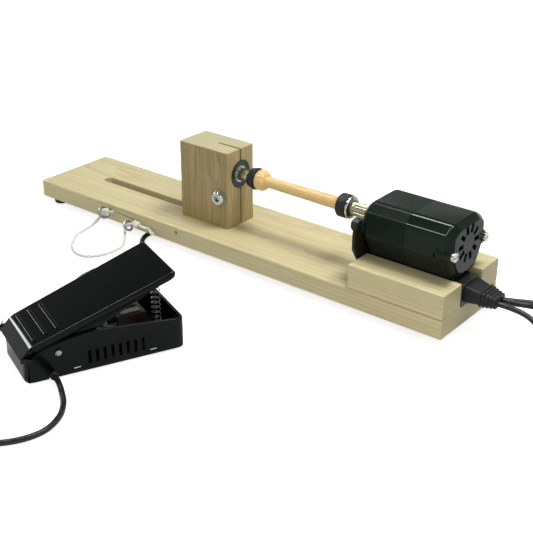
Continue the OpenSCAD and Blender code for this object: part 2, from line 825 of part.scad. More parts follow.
module hinge_pin() {
    color(bright_steel) on_pedal() translate([hinge[0], side_n(hinge[0]) + 0.3, hinge[1]])
        rotate([90, 0, 0]) {
            cylinder(h = 2*side_n(hinge[0]) + 0.6, d = hinge_d);
            translate([0, 0, 2*side_n(hinge[0]) + 0.6]) cylinder(h = 1.2, d1 = 6, d2 = 4.4);
        }
}

module pedal_gland() {
    color(rubber) on_pedal() translate([gland_u, -gland_in, gland_h]) rotate([90, 0, 0])
        cylinder(h = gland_out - gland_in, d = gland_d);
}

module contact_block() {
    color(phenolic) on_pedal() translate([0, 0, pedal_clear + 2]) difference() {
        union() {
            translate([52, -14, 0]) cube([62, 28, 8]);
            translate([52, -8, 8]) cube([16, 16, 18]);
            translate([88, -12, 8]) cube([26, 24, 20]);
        }
        translate([plunger_u, 0, 4]) cylinder(h = 30, d = 6 + 2*running);
    }
}

module contact_strips() {
    color(bright_steel) on_pedal() {
        for (s = [-1, 1]) translate([68, s*6 - 2, pedal_clear + 20]) {
            cube([20, 4, 0.8]);
            translate([8, 0, 0.8]) cube([4, 4, 5]);
        }
        for (n = [-9, 3]) translate([92, n, pedal_clear + 30]) cube([18, 6, 1]);
    }
}

// Points of the return spring: closed coils at its ends, open between them
module return_spring() {
    turns = 13;
    r = 3.8;
    wire = 0.9;
    low = pedal_clear + 6 + wire/2;
    high = spring_seat - running - wire/2;
    rise = function (k) low + (high - low)*(k < 1 ? 0.03*k :
        k > turns - 1 ? 1 - 0.03*(turns - k) : 0.03 + 0.94*(k - 1)/(turns - 2));
    path = [for (i = [0 : turns*8])
        [spring_u + r*cos(i*45), r*sin(i*45), rise(i/8)]];
    color(bright_steel) on_pedal() tube(path, wire/2, 6, path[1] - path[0],
                                        path[turns*8] - path[turns*8 - 1]);
}

// Top of the treadle at u
function treadle_top(u) = crease[1] + (u - crease[0])*tan(treadle_slope);
// Underside of the treadle's lip at u
function under(u) = treadle_top(u) - lip/cos(treadle_slope);
spring_seat = under(spring_u) - 5;
toe = crease + treadle_l*[cos(treadle_slope), sin(treadle_slope)];
toe_under = toe + lip*[sin(treadle_slope), -cos(treadle_slope)];
heel_foot = [-2.8, 24];
heel_in = [2.4, 25.5];
inner_crease = [11.5, under(11.5)];

// Side view of the treadle's top plate and heel face
plate_side = [heel_foot, crease, toe, toe_under, inner_crease, heel_in];
// Side view of the treadle's skirts, down past the hinge
skirt_side = [
    inner_crease, [toe_under[0] - 3, toe_under[1] - 0.8], [57, 34], [40, 27], [36, 20], [30, 17.5],
    [22, 18], [14, 22], [8, 27]
];

module treadle() {
    color(black_plastic) on_pedal() difference() {
        union() {
            intersection() {
                plan_solid(-4, 140, 0, 0, 90, 5);
                plan_solid(-30, 135.5, 0, 0, 90, 9);
                side_solid(plate_side, 50);
            }
            intersection() {
                difference() {
                    plan_solid(0, 137, skirt_in, 0, 90, 4);
                    plan_solid(0, 137, skirt_in + wall, 0, 100, 3);
                }
                side_solid(skirt_side, 50);
            }
            for (u = [12, 22, 32]) translate([u, 0, treadle_top(u) - 0.6])
                rotate([0, -treadle_slope, 0]) translate([-1.6, -24, 0]) cube([3.2, 48, 1.8]);
            translate([spring_u, 0, spring_seat]) cylinder(h = 6, d = 12);
        }
        translate([hinge[0], 50, hinge[1]]) rotate([90, 0, 0])
            cylinder(h = 100, d = hinge_d + 2*running);
    }
}

module plunger() {
    tip = under(plunger_u) - 3.2/cos(treadle_slope);
    color(brass) on_pedal() translate([plunger_u, 0, 0]) {
        translate([0, 0, 16]) cylinder(h = tip - 16, d = 6);
        translate([0, 0, tip]) sphere(d = 6);
    }
}

module rotor_shaft() { color(steel) winder() shaft(hub_x + 6, motor_end - 4, shaft_d); }

module armature() {
    slots = 12;
    color(steel) winder() difference() {
        union() {
            shaft(stator_x, stator_x + stator_l, armature_d);
            shaft(stator_x - 5, stator_x + stator_l + 5, armature_d - 5);
        }
        shaft(stator_x - 10, stator_x + stator_l + 10, shaft_d);
        for (a = [0 : 360/slots : 359]) along_x(stator_x - past) rotate(a)
            translate([armature_d/2 - 2, -1]) cube([4, 2, stator_l + 2*past]);
    }
}

module commutator() {
    bars = 12;
    color(copper) winder() difference() {
        shaft(commutator_x, commutator_x + commutator_l, 2*commutator_r);
        shaft(commutator_x - past, commutator_x + commutator_l + past, shaft_d);
        for (a = [0 : 360/bars : 359]) along_x(commutator_x - past) rotate(a)
            translate([commutator_r - 1, -0.3]) cube([3, 0.6, commutator_l + 2*past]);
    }
}

module cooling_fan() {
    blades = 8;
    color(carbon) winder() difference() {
        union() {
            shaft(motor_x + 6, motor_x + 7.2, 32);
            shaft(motor_x + 6, motor_x + 11, 12);
            for (a = [0 : 360/blades : 359]) along_x(motor_x + 7) rotate(a)
                translate([5, -0.6, 0]) cube([10.5, 1.2, 4]);
        }
        shaft(motor_x + 6 - past, motor_x + 11 + past, shaft_d);
    }
}

module drive_hub() {
    color(bright_steel) winder() difference() {
        union() {
            shaft(hub_x, hub_end, hub_d);
            shaft(bobbin_end, hub_x + past, nose_d);
            shaft(bobbin_end - 10, bobbin_end + past, bobbin_bore);
        }
        for (a = [0 : 360/hub_flutes : 359]) along_x(hub_x + 3) rotate(a)
            translate([hub_d/2 + 0.5, 0, 0]) cylinder(h = hub_end - hub_x, d = 2.6);
        shaft(hub_x + 6, hub_end + past, shaft_d);
        along_x(hub_end - 7) rotate(360/hub_flutes/2) rotate([0, 90, 0])
            cylinder(h = hub_d, d = 3);
    }
}

module hub_set_screw() {
    color(black_oxide) winder() along_x(hub_end - 7) rotate(360/hub_flutes/2)
        rotate([0, 90, 0]) translate([0, 0, shaft_d/2 + 0.1]) difference() {
            cylinder(h = hub_d/2 - shaft_d/2 - 0.3, d = 3);
            translate([0, 0, 2]) cylinder(h = 5, d = 1.5, $fn = 6);
        }
}

module drive_washer() {
    color(bright_steel) winder() along_x(bobbin_end + drive_ring_l) difference() {
        union() {
            cylinder(h = washer_l/2, d = 22);
            translate([0, 0, washer_l/2]) cylinder(h = washer_l/2, d1 = 22, d2 = 17);
        }
        translate([0, 0, -past]) cylinder(h = washer_l + 2*past, d = nose_d);
    }
}

module drive_ring() {
    color(rubber) winder() along_x(bobbin_end) rotate_extrude() difference() {
        round_rect([11.5, drive_ring_l], 1.5);
        translate([-past, -past]) square([nose_d/2 + past, drive_ring_l + 2*past]);
    }
}

module bobbin() {
    head_r = 10.4;
    flare = [for (a = [0 : 15 : 90])
        [barrel_d/2 + (head_r - barrel_d/2)*cos(a), bobbin_x + 5.5 + 6*sin(a)]];
    foot_flare = [for (a = [0 : 15 : 90])
        [barrel_end_d/2 + 2.2*(1 - cos(a)), bobbin_end - 6 + 4*sin(a)]];
    color(bobbin_wood) winder() along_x(0) rotate_extrude() polygon(concat(
        [[bobbin_bore/2, bobbin_x], [8.5, bobbin_x], [9.8, bobbin_x + 1], [head_r, bobbin_x + 3]],
        flare, foot_flare,
        [[barrel_end_d/2 + 2.2, bobbin_end], [bobbin_bore/2, bobbin_end]]
    ));
}

module tail_block() {
    color(beech) winder() difference() {
        translate([block_x, block_y, top_z + running]) linear_extrude(block_h)
            round_rect([block_l, block_w], edge_r);
        shaft(block_end - bearing_w, block_end + past, bearing_d);
        shaft(block_end - 26, block_end, spindle_hole);
        translate([block_end - kerf_l, mid_y - kerf_w/2, 0]) cube([kerf_l + past, kerf_w, 200]);
        translate([pinch_at[0], block_y - past, pinch_at[1]]) rotate([-90, 0, 0])
            cylinder(h = block_w + 2*past, d = stud_d);
        translate([stud_x, mid_y, 0]) cylinder(h = top_z + 30, d = stud_d);
    }
}

module pinch_screw() {
    head_h = 3.4;
    color(bright_steel) winder() translate([pinch_at[0], block_y - 1.6, pinch_at[1]])
        rotate([-90, 0, 0]) difference() {
            union() {
                translate([0, 0, 1.2 - head_h]) cylinder(h = head_h - 1.2, d = 15);
                translate([0, 0, -head_h]) cylinder(h = 1.2, d1 = 12.6, d2 = 15);
                cylinder(h = block_w + 11, d = stud_d);
            }
            translate([0, 0, -head_h - past]) cylinder(h = 2.4 + past, d = 6.9, $fn = 6);
        }
}

// Washers under the head and the nut of the pinch screw, and the nut itself
module pinch_fittings() {
    color(steel) winder() translate([pinch_at[0], 0, pinch_at[1]]) rotate([-90, 0, 0]) difference() {
        union() {
            translate([0, 0, block_y - 1.6]) cylinder(h = 1.6, d = 16);
            translate([0, 0, block_y + block_w]) cylinder(h = 1.6, d = 16);
            translate([0, 0, block_y + block_w + 1.6]) cylinder(h = 6.5, d = 15, $fn = 6);
        }
        cylinder(h = board_w, d = stud_d);
    }
}

// Groove that the balls run in, as a ring to cut away
module ball_groove() {
    along_x(block_end - bearing_w/2) rotate_extrude()
        translate([ball_circle/2, 0]) circle(d = ball_d + 2*race_gap, $fn = round_fn);
}

module bearing_outer() {
    color(black_oxide) winder() difference() {
        shaft(block_end - bearing_w, block_end, bearing_d);
        shaft(block_end - bearing_w - past, block_end + past, 24);
        ball_groove();
    }
}

module bearing_shields() {
    color(steel) winder() for (x = [block_end - bearing_w + 0.3, block_end - 1.1]) difference() {
        shaft(x, x + 0.8, 24);
        shaft(x - past, x + 0.8 + past, 17.6);
    }
}

module bearing_inner() {
    color(bright_steel) winder() difference() {
        shaft(block_end - bearing_w, block_end, 17);
        shaft(block_end - bearing_w - past, block_end + past, spindle_d);
        ball_groove();
    }
}

module bearing_balls() {
    balls = 8;
    color(bright_steel) winder() along_x(block_end - bearing_w/2) {
        for (a = [0 : 360/balls : 359]) rotate(a) translate([ball_circle/2, 0, 0])
            sphere(d = ball_d, $fn = round_fn);
        difference() {
            translate([0, 0, -0.6]) cylinder(h = 1.2, d = ball_circle + 1.2);
            translate([0, 0, -past]) cylinder(h = 2*past, d = ball_circle - 1.2);
        }
    }
}

module clamp_stud() {
    color(steel) winder() translate([stud_x, mid_y, 0]) {
        translate([0, 0, -2]) cylinder(h = top_z + 32, d = stud_d);
        translate([0, 0, 7]) cylinder(h = channel_h - 7 - running, d = 26);
    }
}

module tail_spindle() {
    color(steel) winder() {
        shaft(block_end - 24, spindle_end, spindle_d);
        shaft(spindle_end, ring_end + 12, tail_pin_d);
    }
}

module tail_ring() {
    color(rubber) winder() along_x(spindle_end) difference() {
        union() {
            cylinder(h = 7.5, d1 = 18.5, d2 = 22.5);
            translate([0, 0, 7.5]) cylinder(h = ring_end - spindle_end - 7.5, d1 = 22.5, d2 = 21.5);
        }
        translate([0, 0, -past]) cylinder(h = 20, d = tail_pin_d);
    }
}

module clamp_knob() {
    lobes = 6;
    lobe_r = 3.3;
    color(black_plastic) winder() translate([stud_x, mid_y, -2.5]) difference() {
        union() {
            cylinder(h = 9.4, r = 11.6);
            for (a = [0 : 360/lobes : 359]) rotate([0, 0, a]) translate([knob_r - lobe_r, 0, 0])
                cylinder(h = 9.4, r = lobe_r);
        }
        translate([0, 0, -past]) cylinder(h = 12, d = stud_d + 2*running);
    }
}

echo(mains_coil_gap = coil_gap(coil_path(mains_centre, mains_r, mains_turns, 270)));
echo(pedal_coil_gap = coil_gap(coil_path(pedal_coil_centre, pedal_coil_r, pedal_turns, 180)));
echo(mains_length = path_length(smooth(mains_route, 8)) + path_length(smooth(mains_tail, 8))
    + path_length(coil_path(mains_centre, mains_r, mains_turns, 270)));
echo(pedal_length = path_length(smooth(pedal_route, 8)) + path_length(smooth(pedal_return, 8))
    + path_length(coil_path(pedal_coil_centre, pedal_coil_r, pedal_turns, 180)));
echo(eye_cord_length = path_length(smooth(eye_route, 8)));

base_board();
rubber_feet();
wood_screws();
rail_front();
rail_rear();
rail_screws();
eye_screws();
eye_cord();
motor_bracket();
motor_thumb_screws();
motor_front_shell();
motor_rear_shell();
motor_case_screws();
stator_core();
stator_coils();
shaft_bushings();
brush_holders();
brushes();
motor_socket();
plug_block();
plug_relief();
mains_lead();
mains_coil();
mains_tie();
mains_plug();
plug_blades();
pedal_lead();
pedal_coil();
pedal_tie();
pedal_base();
pedal_bottom();
pedal_feet();
pedal_screws();
hinge_pin();
pedal_gland();
contact_block();
contact_strips();
return_spring();
rotor_shaft();
armature();
commutator();
cooling_fan();
drive_hub();
hub_set_screw();
drive_washer();
drive_ring();
bobbin();
tail_block();
pinch_screw();
pinch_fittings();
bearing_outer();
bearing_shields();
clamp_stud();
bearing_balls();
bearing_inner();
tail_spindle();
tail_ring();
clamp_knob();
treadle();
plunger();
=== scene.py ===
import json
import random
from math import atan2, cos, hypot, pi, radians, sin, tan

import bmesh
import bpy
from mathutils import Matrix, Vector

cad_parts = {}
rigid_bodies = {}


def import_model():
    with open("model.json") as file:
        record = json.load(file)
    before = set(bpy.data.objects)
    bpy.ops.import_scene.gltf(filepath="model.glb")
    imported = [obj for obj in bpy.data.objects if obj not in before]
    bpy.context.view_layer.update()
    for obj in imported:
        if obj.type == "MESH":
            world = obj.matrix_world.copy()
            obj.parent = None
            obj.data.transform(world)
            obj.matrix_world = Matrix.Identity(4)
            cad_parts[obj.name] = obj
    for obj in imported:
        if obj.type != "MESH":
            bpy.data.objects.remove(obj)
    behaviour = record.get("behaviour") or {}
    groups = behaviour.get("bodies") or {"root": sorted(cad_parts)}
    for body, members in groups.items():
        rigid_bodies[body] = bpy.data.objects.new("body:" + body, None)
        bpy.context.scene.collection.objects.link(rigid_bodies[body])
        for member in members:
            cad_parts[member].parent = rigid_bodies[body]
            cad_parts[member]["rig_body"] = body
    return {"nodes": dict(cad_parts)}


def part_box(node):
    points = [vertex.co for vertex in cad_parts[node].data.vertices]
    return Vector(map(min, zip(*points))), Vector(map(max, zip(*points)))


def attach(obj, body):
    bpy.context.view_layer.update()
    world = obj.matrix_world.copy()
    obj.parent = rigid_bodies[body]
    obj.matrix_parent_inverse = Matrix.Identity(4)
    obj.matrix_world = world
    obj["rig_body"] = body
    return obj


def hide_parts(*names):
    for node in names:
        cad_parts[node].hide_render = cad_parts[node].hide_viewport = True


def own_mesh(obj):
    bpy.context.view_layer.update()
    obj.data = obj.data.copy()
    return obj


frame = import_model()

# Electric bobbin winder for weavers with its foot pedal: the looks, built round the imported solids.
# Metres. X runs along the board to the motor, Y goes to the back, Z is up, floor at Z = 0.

MM = 0.001
FULL_TURN = 2*pi
Y, Z = Vector((0, 1, 0)), Vector((0, 0, 1))
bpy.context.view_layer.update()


# Sizes, objects and places

def mm(*values):
    """A point or size given in millimetres."""
    return Vector(values)*MM


def in_scene(name, data):
    """A new object in the scene, made from this mesh, curve, lamp or camera."""
    made = bpy.data.objects.new(name, data)
    bpy.context.scene.collection.objects.link(made)
    return made


def middle(node):
    """The middle of a CAD node's box."""
    low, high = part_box(node)
    return (low + high)/2


def extent(node):
    """The size of a CAD node's box."""
    low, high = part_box(node)
    return high - low


axis = middle("rotor_shaft")
board_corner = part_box("base_board")[0]


def on_axis(x):
    """The point of the shaft's axis at x, in metres."""
    return Vector((x, axis.y, axis.z))


# The pedal lies turned on the floor: U runs from its heel to its toe, N to its left, H up. Its
# place and its sizes are those of the solids.
PEDAL_TURN = radians(67.2)
PEDAL_HEEL = mm(-16, -169.5, 0)
pedal_turned = Matrix.Translation(PEDAL_HEEL) @ Matrix.Rotation(PEDAL_TURN, 4, "Z")


def on_pedal(u, n, h):
    """A point of the pedal from its heel's middle, in millimetres."""
    return pedal_turned @ mm(u, n, h)


def pedal_local(point):
    """The pedal's own (u, n, h), in millimetres, of a point in metres."""
    return (pedal_turned.inverted() @ point)/MM


# Camera, solved from the edges of board, block and rails

CAMERA_AT = mm(624.5, -632.7, 475.2)
CAMERA_ROUND = radians(38.76)
CAMERA_DOWN = radians(26.44)
CAMERA_ROLL = radians(0.12)
IMAGE_WIDTH = 533
FOCAL_PIXELS = 1068.4

camera = in_scene("camera", bpy.data.cameras.new("camera"))
camera.data.lens = camera.data.sensor_width*FOCAL_PIXELS/IMAGE_WIDTH
camera.data.clip_start = 0.05
camera.matrix_world = (
    Matrix.Translation(CAMERA_AT) @ Matrix.Rotation(CAMERA_ROUND, 4, "Z")
    @ Matrix.Rotation(pi/2 - CAMERA_DOWN, 4, "X") @ Matrix.Rotation(CAMERA_ROLL, 4, "Z")
)
bpy.context.scene.camera = camera
bpy.context.scene.view_settings.view_transform = "Standard"


# Materials

def shade(hex_code):
    """Linear colour of an sRGB hex value."""
    parts = [int(hex_code[i:i + 2], 16)/255 for i in (1, 3, 5)]
    return (*[c/12.92 if c <= 0.04045 else ((c + 0.055)/1.055)**2.4 for c in parts], 1.0)


def add(tree, kind, inputs=None, stops=None, **settings):
    """Adds a node with its settings, its colour stops, and its inputs set or linked."""
    node = tree.nodes.new(kind)
    for name, value in settings.items():
        setattr(node, name, value)
    if stops:
        elements = node.color_ramp.elements
        elements.remove(elements[1])
        elements[0].position, elements[0].color = stops[0]
        for place, tint in stops[1:]:
            elements.new(place).color = tint
    for socket, value in (inputs or {}).items():
        if isinstance(value, bpy.types.NodeSocket):
            tree.links.new(value, node.inputs[socket])
        else:
            node.inputs[socket].default_value = value
    return node


BLACK, WHITE = (0, 0, 0, 1), (1, 1, 1, 1)
# Sockets of the Mix node: its share, then both inputs and the result as numbers and as colours
SHARE = 0
NUMBER_A, NUMBER_B, NUMBER_OUT = 2, 3, 0
COLOUR_A, COLOUR_B, COLOUR_OUT = 6, 7, 2


def blank(name, **surface):
    """A new material, its node tree and its shader, whose sockets are named with _ for a space."""
    made = bpy.data.materials.new(name)
    made.use_nodes = True
    shader = made.node_tree.nodes["Principled BSDF"]
    for key, value in surface.items():
        shader.inputs[key.replace("_", " ")].default_value = value
    return made, made.node_tree, shader


def speckle(tree, place, size, detail=2.0, rough=0.5):
    """Noise whose spots are size millimetres, one length or one for each axis."""
    sizes = size if isinstance(size, (list, tuple)) else [size]*3
    scaled = add(tree, "ShaderNodeMapping", {"Vector": place, "Scale": [1/(s*MM) for s in sizes]})
    return add(tree, "ShaderNodeTexNoise", {
        "Vector": scaled.outputs["Vector"], "Scale": 1.0, "Detail": detail, "Roughness": rough,
    }).outputs["Fac"]


def worn_edges(tree, colour, edge_colour, amount):
    """The colour, changed to edge_colour where the mesh says that an edge is rubbed."""
    worn = add(tree, "ShaderNodeAttribute", attribute_name="worn").outputs["Fac"]
    share = add(tree, "ShaderNodeMath", {0: worn, 1: amount}, operation="MULTIPLY").outputs[0]
    return add(tree, "ShaderNodeMix", {SHARE: share, COLOUR_A: colour, COLOUR_B: edge_colour},
               data_type="RGBA").outputs[COLOUR_OUT]


def dress(tree, shader, colour, gloss, height, strength, depth_mm, **settings):
    """Links a colour, a roughness if one is given, and bumps of this height to the shader."""
    bump = add(tree, "ShaderNodeBump", {
        "Height": height, "Strength": strength, "Distance": depth_mm*MM,
    }, **settings)
    tree.links.new(colour, shader.inputs["Base Color"])
    tree.links.new(bump.outputs["Normal"], shader.inputs["Normal"])
    if gloss is not None:
        tree.links.new(gloss, shader.inputs["Roughness"])


# Sizes of patterns, in millimetres
TONE_CLOUD = 17
HAND_SMEAR = 6.0
TARNISH_CLOUD = 9.0
COTTON_FUZZ = 0.35
# Those of wood, as their length along the grain and their width across it
BROAD_TONE = (320, 46)
FINE_STREAK = (95, 2.4)
SLOW_BEND = (180, 26)
BEND_BY = 22
# Vessel marks are 0.1 mm wide in the wood and drawn at 0.6 mm so that they show
VESSEL_MARK = (8, 0.6)
END_PORE = 1.1
# A Wave texture of scale 1 repeats after this length
WAVE_LENGTH = pi/10
# How far rings, vessels, even end grain and rubbed edges show, from 0 to 1
RINGS_SHOW, VESSELS_SHOW, END_EVENNESS, EDGES_SHOW = 0.34, 0.34, 0.72, 0.35


def wood(name, along, pith, pale, honey, brown, end_tone, ring_mm=3.4, gloss=0.1):
    """Planed wood under oil: long fine streaks along the grain, rings round the pith, short dark
    vessel marks, and end grain of its own tone: darker and denser on board and rails, and pale on
    the block's top, where it is painted light. along is the number of the grain's axis."""
    made, tree, shader = blank(name, IOR=1.5, Specular_IOR_Level=0.3, Coat_Weight=gloss,
                               Coat_Roughness=0.22)
    coordinates = add(tree, "ShaderNodeTexCoord")
    place = coordinates.outputs["Object"]

    def drawn(size, detail=2.0):
        sizes = [size[1]]*3
        sizes[along] = size[0]
        return speckle(tree, place, sizes, detail)

    tone = drawn(BROAD_TONE)
    streak = drawn(FINE_STREAK, 4.0)
    bent = add(tree, "ShaderNodeVectorMath", {0: drawn(SLOW_BEND), 1: [BEND_BY*MM]*3, 2: place},
               operation="MULTIPLY_ADD")
    centred = add(tree, "ShaderNodeMapping", {"Vector": bent.outputs[0], "Location": -pith})
    rings = add(tree, "ShaderNodeTexWave", {
        "Vector": centred.outputs["Vector"], "Scale": WAVE_LENGTH/(ring_mm*MM), "Distortion": 0.6,
        "Detail": 1.0, "Detail Scale": 0.8,
    }, wave_type="RINGS", rings_direction="XYZ"[along], wave_profile="SAW").outputs["Fac"]
    vessels = add(tree, "ShaderNodeValToRGB", {"Fac": drawn(VESSEL_MARK, 0.0)},
                  stops=[(0.60, BLACK), (0.70, WHITE)]).outputs["Color"]
    grain = add(tree, "ShaderNodeMix", {SHARE: RINGS_SHOW, NUMBER_A: streak, NUMBER_B: rings},
                data_type="FLOAT").outputs[NUMBER_OUT]
    lit = add(tree, "ShaderNodeValToRGB", {"Fac": grain}, stops=[
        (0.26, shade(pale)), (0.52, shade(honey)), (0.78, shade(brown)),
    ]).outputs["Color"]
    broad = add(tree, "ShaderNodeValToRGB", {"Fac": tone}, stops=[
        (0.3, (0.90, 0.89, 0.87, 1)), (0.7, (1.05, 1.05, 1.05, 1)),
    ]).outputs["Color"]
    lit = add(tree, "ShaderNodeMix", {SHARE: 1.0, COLOUR_A: lit, COLOUR_B: broad},
              data_type="RGBA", blend_type="MULTIPLY").outputs[COLOUR_OUT]
    marks = add(tree, "ShaderNodeMath", {0: vessels, 1: VESSELS_SHOW},
                operation="MULTIPLY").outputs[0]
    lit = add(tree, "ShaderNodeMix", {SHARE: marks, COLOUR_A: lit, COLOUR_B: shade(brown)},
              data_type="RGBA").outputs[COLOUR_OUT]
    # Faces across the grain get the end tone: darker where end grain drinks more oil, and pale on
    # the block's top, where it is painted light
    facing = add(tree, "ShaderNodeSeparateXYZ", {"Vector": coordinates.outputs["Normal"]})
    ends = add(tree, "ShaderNodeMath", {0: facing.outputs[along]}, operation="ABSOLUTE").outputs[0]
    ends = add(tree, "ShaderNodeMapRange", {
        "Value": ends, "From Min": 0.7, "From Max": 0.95,
    }).outputs[0]
    pores = add(tree, "ShaderNodeValToRGB", {"Fac": speckle(tree, place, END_PORE)},
                stops=[(0.35, shade(brown)), (0.6, shade(end_tone))]).outputs["Color"]
    pores = add(tree, "ShaderNodeMix", {
        SHARE: END_EVENNESS, COLOUR_A: pores, COLOUR_B: shade(end_tone),
    }, data_type="RGBA").outputs[COLOUR_OUT]
    lit = add(tree, "ShaderNodeMix", {SHARE: ends, COLOUR_A: lit, COLOUR_B: pores},
              data_type="RGBA").outputs[COLOUR_OUT]
    lit = worn_edges(tree, lit, shade(pale), EDGES_SHOW)
    dulled = add(tree, "ShaderNodeMapRange", {"Value": streak, "To Min": 0.38, "To Max": 0.56})
    depth = add(tree, "ShaderNodeMix", {SHARE: 0.5, NUMBER_A: streak, NUMBER_B: vessels},
                data_type="FLOAT").outputs[NUMBER_OUT]
    dress(tree, shader, lit, dulled.outputs[0], depth, strength=0.25, depth_mm=0.08, invert=True)
    return made


def moulded(name, body, dull, edge, roughness, grain_mm, depth_mm, **surface):
    """A moulded or painted surface: faint change of tone, a skin of fine bumps, rubbed edges."""
    made, tree, shader = blank(name, **surface)
    place = add(tree, "ShaderNodeTexCoord").outputs["Object"]
    tone = add(tree, "ShaderNodeValToRGB", {"Fac": speckle(tree, place, TONE_CLOUD, 3.0)},
               stops=[(0.35, shade(body)), (0.7, shade(dull))]).outputs["Color"]
    tone = worn_edges(tree, tone, shade(edge), 0.5)
    fine = speckle(tree, place, grain_mm)
    smear = add(tree, "ShaderNodeMix", {
        SHARE: 0.5, NUMBER_A: speckle(tree, place, HAND_SMEAR, 3.0), NUMBER_B: fine,
    }, data_type="FLOAT").outputs[NUMBER_OUT]
    gloss = add(tree, "ShaderNodeMapRange", {
        "Value": smear, "From Min": 0.3, "From Max": 0.7,
        "To Min": roughness*0.8, "To Max": roughness*1.25,
    })
    dress(tree, shader, tone, gloss.outputs[0], fine, strength=0.4, depth_mm=depth_mm)
    return made


def metal(name, bright, dim, roughness, marks_mm, depth_mm=0.01, metallic=1.0):
    """A metal with tool marks: marks_mm is their size, or a size for each of X, Y and Z."""
    made, tree, shader = blank(name, Metallic=metallic)
    place = add(tree, "ShaderNodeTexCoord").outputs["Object"]
    marks = speckle(tree, place, marks_mm, 3.0, 0.6)
    both = add(tree, "ShaderNodeMix", {
        SHARE: 0.5, NUMBER_A: marks, NUMBER_B: speckle(tree, place, TARNISH_CLOUD, 3.0),
    }, data_type="FLOAT").outputs[NUMBER_OUT]
    tone = add(tree, "ShaderNodeValToRGB", {"Fac": both},
               stops=[(0.35, shade(dim)), (0.62, shade(bright))]).outputs["Color"]
    tone = worn_edges(tree, tone, shade(bright), 0.6)
    gloss = add(tree, "ShaderNodeMapRange", {
        "Value": marks, "From Min": 0.3, "From Max": 0.7,
        "To Min": roughness*0.75, "To Max": roughness*1.3,
    })
    dress(tree, shader, tone, gloss.outputs[0], marks, strength=0.5, depth_mm=depth_mm)
    return made


def braided(name, white, shadow, strand_mm):
    """Braided cotton: strands cross in a diamond pattern along the cord's own UV map."""
    made, tree, shader = blank(name, Roughness=0.9, Specular_IOR_Level=0.2, Sheen_Weight=0.3)
    coordinates = add(tree, "ShaderNodeTexCoord")
    bumps = []
    for lean in (1.0, -1.0):
        across = add(tree, "ShaderNodeVectorMath", {
            0: coordinates.outputs["UV"], 1: (1.0, lean, 0.0),
        }, operation="DOT_PRODUCT").outputs["Value"]
        wave = add(tree, "ShaderNodeMath", {0: across, 1: FULL_TURN},
                   operation="MULTIPLY").outputs[0]
        bumps.append(add(tree, "ShaderNodeMath", {0: wave}, operation="SINE").outputs[0])
    strands = add(tree, "ShaderNodeMath", {0: bumps[0], 1: bumps[1]},
                  operation="MAXIMUM").outputs[0]
    fuzz = speckle(tree, coordinates.outputs["Object"], COTTON_FUZZ)
    height = add(tree, "ShaderNodeMath", {0: fuzz, 1: 0.5, 2: strands},
                 operation="MULTIPLY_ADD").outputs[0]
    tone = add(tree, "ShaderNodeValToRGB", {"Fac": height},
               stops=[(0.0, shade(shadow)), (0.8, shade(white))]).outputs["Color"]
    dress(tree, shader, tone, None, height, strength=0.7, depth_mm=strand_mm/3)
    return made


# The green that black phenolic and ABS give to what they mirror
PHENOLIC_CAST = (0.84, 1.0, 0.88, 1.0)
ABS_CAST = (0.88, 1.0, 0.9, 1.0)

# Beech for the board and rails, planed and oiled: pale tan with fine streaks along X
board_beech = wood("oiled_beech_board", 0, Vector((0, 0.21, -0.16)),
                   "#D8CDA2", "#CDC091", "#B6A270", "#968A60")
# Beech for the tail block, its grain upright: its sides are browner; its top, end grain, is painted
# pale as the light that falls on it
block_beech = wood("oiled_beech_block", 2, Vector((0.07, 0.22, 0)),
                   "#B3A273", "#A39060", "#806B40", "#C6C29C")
# Birch of the bobbin, turned and waxed: warm yellow and smooth
bobbin_birch = wood("waxed_birch", 0, Vector((0, 0.10, 0.02)),
                    "#F3D79C", "#ECCB8A", "#D6AC68", "#E4C488", ring_mm=2.6, gloss=0.35)
# Nitrile rubber: black, matt, slightly greyed where it is handled
rubber = moulded("nitrile_rubber", "#141615", "#1E201F", "#2B2D2C",
                 roughness=0.55, grain_mm=0.5, depth_mm=0.03, Specular_IOR_Level=0.35)
# Stoved enamel on the bracket: near black with a low sheen
enamel = moulded("stoved_enamel", "#100D09", "#1A150F", "#332B20",
                 roughness=0.3, grain_mm=1.6, depth_mm=0.02, Specular_IOR_Level=0.2)
# Compression-moulded phenolic of the motor's shells: black with a green cast and a deep polish
phenolic = moulded("polished_phenolic", "#060C08", "#111A14", "#1F2822",
                   roughness=0.08, grain_mm=2.2, depth_mm=0.006,
                   Specular_IOR_Level=0.13, Specular_Tint=PHENOLIC_CAST)
# The same phenolic on the front shell, where handling has dulled it
dull_phenolic = moulded("dulled_phenolic", "#060C08", "#121B15", "#1F2822",
                        roughness=0.24, grain_mm=2.2, depth_mm=0.006,
                        Specular_IOR_Level=0.06, Specular_Tint=PHENOLIC_CAST)
# Injection-moulded ABS of the pedal: glossy black that shows sharp reflections
abs_gloss = moulded("glossy_abs", "#040605", "#080B09", "#131714",
                    roughness=0.1, grain_mm=2.8, depth_mm=0.008,
                    Specular_IOR_Level=0.12, Specular_Tint=ABS_CAST)
# Soft PVC of the connector, its relief and the plug: dull black
pvc = moulded("soft_pvc", "#101312", "#181B1A", "#232725",
              roughness=0.42, grain_mm=0.7, depth_mm=0.02, Specular_IOR_Level=0.3)
# PVC sheath of the leads: dull black with a faint shine along its top
sheath = moulded("pvc_sheath", "#131615", "#1B1E1D", "#1B1E1D",
                 roughness=0.38, grain_mm=0.8, depth_mm=0.015, Specular_IOR_Level=0.35)
# Red-brown phenolic board that carries the pedal's contacts, painted near black as the shade it lies
# in under the treadle
contact_phenolic = moulded("shaded_red_phenolic", "#221112", "#190C0D", "#33201F",
                           roughness=0.4, grain_mm=0.9, depth_mm=0.015)
# Nylon of the fan and the brush holders: dark grey, satin
nylon = moulded("black_nylon", "#232524", "#2C2E2D", "#3A3C3B",
                roughness=0.45, grain_mm=0.9, depth_mm=0.01)
# Zinc plate on screws, eyes and nuts: bluish grey, satin
zinc = metal("zinc_plate", "#A9AEA6", "#747A72", 0.34, marks_mm=0.8)
